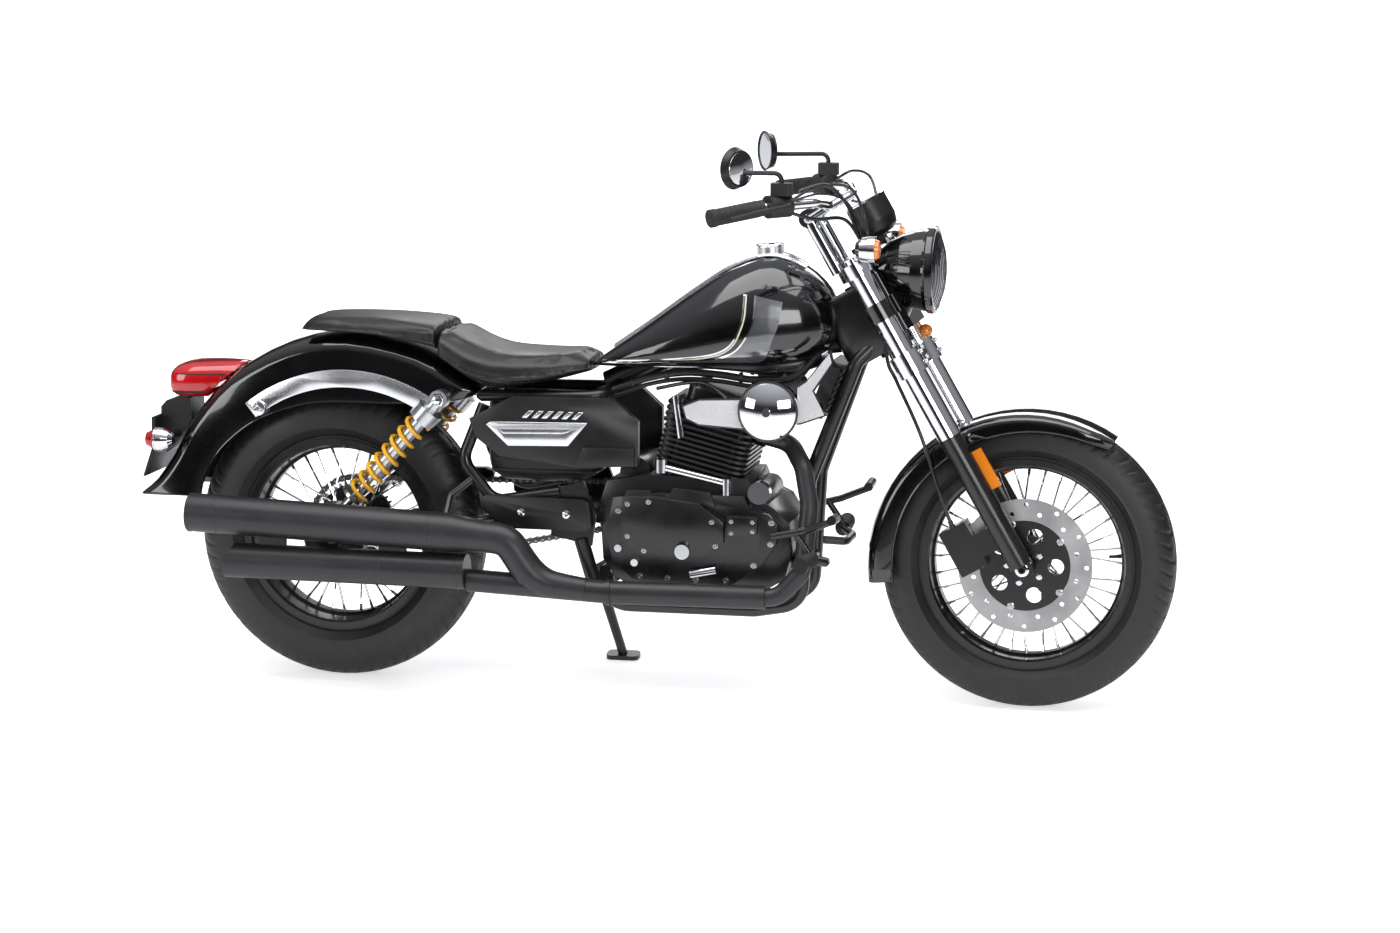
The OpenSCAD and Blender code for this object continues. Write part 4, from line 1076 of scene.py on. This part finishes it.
# %% Brake hose
hose = Shape(FORK)
hose.cable([(2, -240, 921), (50, -200, 905), (52, -120, 850), (32, -64, 790), (27, -60, 722),
            (2, -56, 680), (-10, -56, 600), (-46, -60, 520), (-50, -62, 470), (-56, -84, 350),
            (-82, -84, 220), (-92, -86, 146)], 120, 4.0, 12)
hose.turned([(7, 0), (7, 6), (5.5, 7), (5.5, 16)], (-92, -86, 144), (0.1, 0, 1), 12)
hose.make("brake_hose", cable_skin, "steering")

# %% [markdown]
# ## Lamps
#
# A lamp's glass is dark until it is lit, and shows the room. The rims and the ribs are what say lamp.

# %% Headlamp rim and lens ribs
dark_glass = finish("dark_lamp_glass", (0.012, 0.013, 0.015), 0.03, coat=1.0, coat_rough=0.01, bump=0.0,
                    rough_vary=0.01)
paint("headlamp_lens", dark_glass)
LAMP_X, LAMP_Z = 1184, 932
flutes = Shape()
for k in range(-6, 7):
    y = 12.0 * k
    half = math.sqrt(max(0.0, 80.0**2 - y**2))
    path = []
    for z in np.linspace(-half, half, 28):
        r = math.hypot(y, z)
        depth = np.interp(r, [0, 25, 50, 70, 84.5], [36, 35, 31, 24, 16])
        path.append((LAMP_X + 112.5 + depth + 0.15, y, LAMP_Z + z))
    flutes.swept(path, 0.9, 6)
flutes.make("headlamp_flutes", dark_glass, "steering")
rim = Shape()
profile = [(91.2, 113), (93.4, 116), (93.6, 128), (91, 131.5), (86.5, 131.8), (85.2, 129.5), (86.5, 126),
           (90.8, 120)]
rim.ring(profile, (LAMP_X, 0, LAMP_Z), (1, 0, 0), 96)
rim.make("headlamp_rim", gloss_black, "steering")

# %% [markdown]
# ## Rear signals and tail lamp
#
# Each rear signal has a bright rim, and fine rings on its lens that spread the light. The tail lamp has
# dark trim along its sides, laid on the lens by rays from three directions.

# %% Rear signals
rear_rims = Shape()
lens_ribs = Shape()
for side in (-1, 1):
    spot = Vector((-388, 132 * side, 530))
    rear_rims.ring([(24.2, -1.4), (26.4, -1.4), (26.8, 1.0), (25.2, 2.2), (24.3, 1.2)], spot, (-1, 0, 0), 48)
    for r, along in ((22.0, 5.2), (19.6, 10.2), (17.2, 15.2), (14.6, 20.6)):
        lens_ribs.ring([(r - 0.8, along), (r + 0.5, along - 0.8), (r + 0.5, along + 0.8)], spot,
                       (-1, 0, 0), 36)
rear_rims.make("rear_signal_rims", chrome)
lens_ribs.make("rear_signal_ribs", red_lens)

# %% Tail lamp trim
tail_tree = tree_of(nodes["tail_lamp"].data)
tail_trim = Shape()
for z, first_x, r in ((628, -298, 2.4), (668, -252, 1.3)):
    path = [hit(tail_tree, (x, -300, z), (x, 0, z), 0.2) for x in np.linspace(first_x, -370, 12)]
    path += [hit(tail_tree, (-600, y, z), (0, y, z), 0.2) for y in np.linspace(-52, 52, 13)]
    path += [hit(tail_tree, (x, 300, z), (x, 0, z), 0.2) for x in np.linspace(-370, first_x, 12)]
    tail_trim.swept([p for p in path if p is not None], r, 8)
tail_trim.make("tail_lamp_trim", black_plastic)

# %% [markdown]
# ## Engine screws
#
# Every cover is held by a ring of screws, and their glint is most of what an engine shows. Each row is
# drawn at the height of its cover's face, on the right side and then on the left.

# %% Engine cover screws
screws = Shape()
for x, z in ((652, 412), (700, 270), (760, 268), (822, 268), (888, 268), (948, 304), (984, 352), (986, 398)):
    screws.screw((x, -132.2, z), (0, -1, 0), 5.2, "socket", 6)
for x, z in ((676, 430), (722, 436), (860, 398), (868, 346), (712, 330), (676, 360)):
    screws.screw((x, -150, z), (0, -1, 0), 4.4, "socket", 5)
for x, z in ((902, 375), (902, 400), (948, 380), (948, 400)):
    screws.screw((x, -148, z), (0, -1, 0), 3.6, "socket", 4)
for w in around(6, 15):
    screws.screw((880 + 72 * math.cos(w), 148, 360 + 72 * math.sin(w)), (0, 1, 0), 5.2, "hex", 6)
for x, z in ((716, 350), (724, 440), (760, 452), (972, 312), (990, 382)):
    screws.screw((x, 130, z), (0, 1, 0), 4.8, "socket", 5)
screws.make("engine_cover_screws", steel)

# %% [markdown]
# ## Cylinder head
#
# The cylinder leans forward, so its nuts and the plug's lead are drawn in its own frame. The lead fills
# the dark gap behind the air cleaner, as on the real engine.

# %% Head nuts and plug lead
LEAN_IN = math.radians(14)


def on_cylinder(x, y, z):
    """A point of the leaning cylinder's own frame, in upright millimetres."""
    c, s = math.cos(LEAN_IN), math.sin(LEAN_IN)
    return Vector((812 + x * c + z * s, y, 470 - x * s + z * c))


up_cylinder = on_cylinder(0, 0, 1) - on_cylinder(0, 0, 0)
head_bolts = Shape()
for x in (-52, 52):
    for y in (-66, 66):
        head_bolts.screw(on_cylinder(x, y, 198.3), up_cylinder, 7, "hex", 8)
head_bolts.make("head_cover_nuts", chrome)
lead = Shape()
lead.cable([on_cylinder(70, -82, 150), on_cylinder(84, -118, 168), on_cylinder(40, -128, 196),
            on_cylinder(-40, -90, 214), (720, -60, 668)], 50, 4.2, 12)
boot = on_cylinder(66, -76, 147)
lead.turned([(9, 0), (9.5, 12), (8, 24), (5.5, 30)], boot, on_cylinder(70, -82, 150) - boot, 16)
lead.make("spark_plug_lead", cable_skin)

# %% [markdown]
# ## Exhaust seams and branch
#
# A thin ring marks each weld or clamp on the mufflers. The lower pipe's bend has a shroud whose radius
# shrinks along it, so it is one tube with a radius for each point.

# %% Muffler seams and branch shroud
seams = Shape()
for x, z, r, slope in ((-284, 383.8, 42.6, 0.037), (-222, 381.4, 42.4, 0.037), (256, 363.6, 42.5, 0.037),
                       (318, 278.1, 38.4, 0.007), (150, 279.4, 38.3, 0.007)):
    seams.ring([(r - 1.4, -2.4), (r, -2.0), (r + 0.5, 0), (r, 2.0), (r - 1.4, 2.4)], (x, -206, z),
               (-1, 0, slope), 72)
seams.make("muffler_seams", matte_black)
branch = Shape()
branch_line = [(362, -206, 356.4), (401, -206, 353.6), (422, -205.6, 347), (437, -205, 333),
               (458, -203.6, 302), (480, -202.2, 277), (510, -200.6, 260), (550, -199, 253), (596, -197, 248)]
branch_radii = [34.4, 34.2, 34.2, 34.2, 34.4, 34.0, 31.0, 27.8, 25.0]
branch.cable(branch_line, 60, np.interp(np.linspace(0, 8, 60), range(9), branch_radii), 40)
branch.make("muffler_branch_shroud", matte_black)

# %% [markdown]
# ## Air cleaner arms and shock caps
#
# The cast arms beside the air cleaner have polished faces, thin plates laid over the CAD ones. The shocks
# and the swing arm's pivot end in chrome caps.

# %% Arm faces and chrome caps
arms = Shape()
for outline in ([(796, 642), (830, 656), (926, 660), (926, 600), (830, 606), (803, 618)],
                [(1042, 690), (1060, 702), (1109, 764), (1114, 745), (1073, 684), (1099, 634), (1050, 616),
                 (1042, 616)]):
    arms.grid([[(x, y, z) for x, z in outline] for y in (-141.8, -143.4)], closed=True, caps=True)
arms.make("air_cleaner_arm_faces", cast_bright)
caps = Shape()
for side in (-1, 1):
    caps.turned([(15.5, -0.4), (15.5, 2), (12.5, 2.5), (12.2, 8), (9, 12), (4, 13.6), (0.1, 13.8)],
                (257, 149 * side, 640), (0, side, 0), 6)
    caps.turned([(11, -0.4), (11, 2), (9, 2.5), (8.6, 7), (5, 9), (0.1, 9.4)], (22, 145.3 * side, 372),
                (0, side, 0), 6)
    for x in (440, 540):
        caps.turned([(9.6, -0.6), (9.6, 1.2), (8.2, 3.4), (4.4, 4.4), (4.2, 2.6), (0.1, 2.5)],
                    (x, 144 * side, 400), (0, side, 0), 28)
caps.make("shock_and_pivot_caps", chrome)

# %% [markdown]
# ## Foot pegs and fork screws
#
# Rubber sleeves on the pegs have ribs, turned like the grips. The fork shows nuts on its axle, screws in
# its clamps and a cap on each tube, all drawn along the fork.

# %% Peg rubbers
PEG_LENGTH = 88
treads = Shape()
profile = []
for t in np.linspace(0, PEG_LENGTH, 120):
    profile.append((17.1 + 1.1 * max(0.0, math.sin(2 * math.pi * t / 11.0)) ** 0.6, t))
for side in (-1, 1):
    start = Vector((1083.6, 202 * side, 334.2))
    along = Vector((-6, 96 * side, 2)).normalized()
    treads.turned(profile, start, along, 26)
treads.make("peg_rubbers", rubber)

# %% Axle nuts and clamp screws
axle_nuts = Shape(FORK)
for side in (-1, 1):
    axle_nuts.ring([(8.3, 0), (15, 0), (15, 1.4), (13.4, 1.6), (13.2, 6.6), (8.4, 6.9)],
                   (0, 113.2 * side, 0), (0, side, 0), 36)
axle_nuts.make("front_axle_nuts", chrome, "steering")
clamp_screws = Shape(FORK)
for side in (-1, 1):
    for w in (483, 507):
        clamp_screws.screw((33.2, 100 * side, w), (1, 0, 0), 4.6, "socket", 6)
    clamp_screws.turned([(17.2, -1), (17.2, 2), (14, 5), (13, 4), (4, 4.4), (0.1, 4.5)],
                        (0, 100 * side, 746), (0, 0, 1), 6)
clamp_screws.make("fork_clamp_screws", chrome, "steering")

# %% [markdown]
# ## Instrument face
#
# A round dial with ticks and a needle, and nothing written on it. It faces the rider, so it is seen from
# behind.

# %% Dial
dial_black = finish("dial_black", (0.008, 0.008, 0.009), 0.3)
dial_white = finish("dial_white", (0.75, 0.75, 0.72), 0.5)
face = Shape(FORK)
face.turned([(40.4, 74.05), (40.2, 74.6), (0.1, 74.7)], (66, 0, 760), (0, 0, 1), 64)
face.make("dial_face", dial_black, "steering")
ticks = Shape(FORK)
for k in range(41):
    w = math.radians(-135 + 270 * k / 40)
    inner, across = (31, 0.8) if k % 5 == 0 else (34, 0.4)
    c, s = math.cos(w), math.sin(w)
    ticks.grid([[(66 - r * c + e * across * s, -r * s - e * across * c, z)
                 for e, z in ((-1, 834.6), (1, 834.6), (1, 835.2), (-1, 835.2))]
                for r in (inner, 37)], closed=True, caps=True)
ticks.swept([(66, 0, 836), (66 + 24, 20, 836)], [1.6, 0.5], 6)
ticks.make("dial_ticks", dial_white, "steering")
bezel = Shape(FORK)
bezel.ring([(41.2, 77), (46.4, 76), (47, 79), (44, 81), (41, 80)], (66, 0, 760), (0, 0, 1), 72)
bezel.make("instrument_bezel", chrome, "steering")

# %% [markdown]
# ## Rolled fender edges
#
# Sheet metal fenders end in a rolled bead. It is a thin tube along the edge, from the fender's own
# centre, radius and depth, so it follows the sheet.

# %% Fender edges


def bead_line(rows):
    """The lower edge of a fender from rows of (x, z, inward angle, half width, depth)."""
    x, z, angle, half, depth = curve_through(rows, 90).T
    turn = np.radians(angle)
    return np.column_stack([x + depth * np.cos(turn), half - 1.5, z + depth * np.sin(turn)])


def fender_row(centre, radius, a, half, depth):
    """One row for bead_line, at an angle round a fender's centre."""
    w = math.radians(a)
    return (centre[0] + radius * math.cos(w), centre[1] + radius * math.sin(w), a + 180, half, depth)


def fender_bead(name, rows, radius, body):
    """A bead along both lower edges of a fender."""
    beads = Shape()
    edge = bead_line(rows)
    for side in (-1, 1):
        beads.swept([(x, y * side, z) for x, y, z in edge], radius, 8)
    beads.make(name, gloss_black, body)


print("bead helper ready")

# %% [markdown]
# ## Both fenders' beads
#
# The rear fender is an arc that ends in a straight tail, and the front one is an arc alone. Their rows
# repeat the numbers that the CAD fenders were drawn with.

# %% Fender beads
REAR_CENTRE, REAR_ARC = (35, 330), 438
rear_rows = [fender_row(REAR_CENTRE, REAR_ARC, *row) for row in
             ((47.7, 76, 12), (52, 94, 56), (68, 96, 122), (90, 98, 146), (109, 98, 138), (129, 98, 120),
              (145.8, 98, 102))]
rear_rows += [(-374, 494, 335, 98, 96), (-416, 434, 348, 98, 118), (-454, 400, 360, 98, 158)]
fender_bead("rear_fender_bead", rear_rows, 2.4, "frame")
front_rows = []
for i in range(25):
    a = 57 + 129 * i / 24
    half = 68 - (12 if i == 0 else 4 if i == 1 else 0)
    front_rows.append(fender_row((1517, 298), 342, a, half, 18 + 44 * (i / 24) ** 0.6))
fender_bead("front_fender_bead", front_rows, 2.2, "steering")

# %% [markdown]
# ## Tank pan
#
# Between the tank and the cylinder no daylight shows. A pan closes the tank's tunnel, drawn as soft-
# cornered sections along the machine, each with its own width and height.

# %% Tank pan


def lying_body(shape, rows, power=4.0):
    """Soft-cornered sections along X: x, y, z of the middle, then half the width and half the height."""
    sections = []
    for x, y, z, wide, high in rows:
        sections.append([(x, y + wide * bulged(math.cos(w), 2 / power),
                          z + high * bulged(math.sin(w), 2 / power)) for w in around(28)])
    shape.grid(sections, closed=True, caps=True)


pan = Shape()
lying_body(pan, [(690, 0, 731, 24, 6), (700, 0, 730, 32, 9), (740, 0, 729, 54, 13), (800, 0, 728, 74, 14),
                 (880, 0, 727, 84, 17), (960, 0, 725, 84, 21), (1030, 0, 728, 70, 20), (1066, 0, 738, 44, 18),
                 (1074, 0, 742, 34, 14)])
pan.make("tank_pan", satin_black)

# %% [markdown]
# ## Wiring loom
#
# Three bundles run under the pan from the steering head to the battery. Bands hold them, placed on the
# same line as the bundles.

# %% Wiring loom
LOOM = [(1092, 34, 812), (1070, 46, 756), (1020, 62, 706), (940, 66, 694), (860, 62, 702), (780, 58, 704),
        (700, 60, 690), (630, 62, 664), (560, 58, 640)]
LOOM_HEAD = 1050
loom = Shape()
for side, low, radius in ((-1, 0, 8), (1, 0, 8), (-1, -14, 5)):
    loom.cable([(x, y * side, z + (low if x < LOOM_HEAD else 0)) for x, y, z in LOOM], 64, radius, 12)
loom_x, loom_y, loom_z = np.array(LOOM[::-1], float).T
for x in (1000, 905, 742, 668):
    y, z = float(np.interp(x, loom_x, loom_y)), float(np.interp(x, loom_x, loom_z))
    for side in (-1, 1):
        loom.turned([(10.5, -4), (11.5, -2), (11.5, 2), (10.5, 4)], (x, y * side, z), (1, 0, 0), 16)
loom.make("wiring_loom", matte_black)

# %% [markdown]
# ## Ignition coil and battery box
#
# The coil hangs on the right, under the pan. A ribbed battery box fills the frame behind the side covers,
# where an empty frame would let the ground show through.

# %% Ignition coil
coil = Shape()
lying_body(coil, [(938, -40, 690, 12, 14), (944, -40, 690, 22, 22), (1010, -40, 690, 22, 22),
                  (1016, -40, 690, 12, 14)])
lying_body(coil, [(924, -40, 690, 9, 9), (939, -40, 690, 9, 9)], 2.0)
coil.turned([(11, 0), (11, 10), (8, 13), (8, 26), (5, 30)], (1014, -40, 690), (1, 0, 0.2), 18)
coil.make("ignition_coil", matte_black)

# %% Battery box
box = Shape()
lying_body(box, [(345, 0, 560, 50, 70), (352, 0, 556, 60, 84), (380, 0, 550, 64, 94), (470, 0, 549, 64, 96),
                 (560, 0, 552, 64, 92), (592, 0, 560, 60, 80), (598, 0, 562, 52, 72)], 7.0)
for z in (480, 505, 530):
    box.grid([[(x, y, z + dz) for x, y in ((362, -66.5), (588, -66.5), (588, 66.5), (362, 66.5))]
              for dz in (-2.5, 2.5)], closed=True, caps=True)
box.make("battery_box", matte_black)

# %% [markdown]
# ## Steering head shroud
#
# The shroud covers the steering head, well inside the circle that the fork legs swing on. Its sections
# are drawn across the fork's line, but it stays with the frame.

# %% Steering head shroud
COS_RAKE, SIN_RAKE = 0.866, 0.5
shroud = Shape()
sections = []
for w, scale in ((536, 0.82), (541, 0.94), (548, 1.0), (600, 1.0), (680, 1.0), (687, 0.95), (692, 0.84)):
    section = []
    for turn in around(36):
        u = -67 + 66 * scale * bulged(math.cos(turn), 0.6)
        y = 40 * scale * bulged(math.sin(turn), 0.6)
        section.append((WHEELBASE + u * COS_RAKE - w * SIN_RAKE, y, FRONT_R + u * SIN_RAKE + w * COS_RAKE))
    sections.append(section)
shroud.grid(sections, closed=True, caps=True)
shroud.make("steering_head_shroud", satin_black)
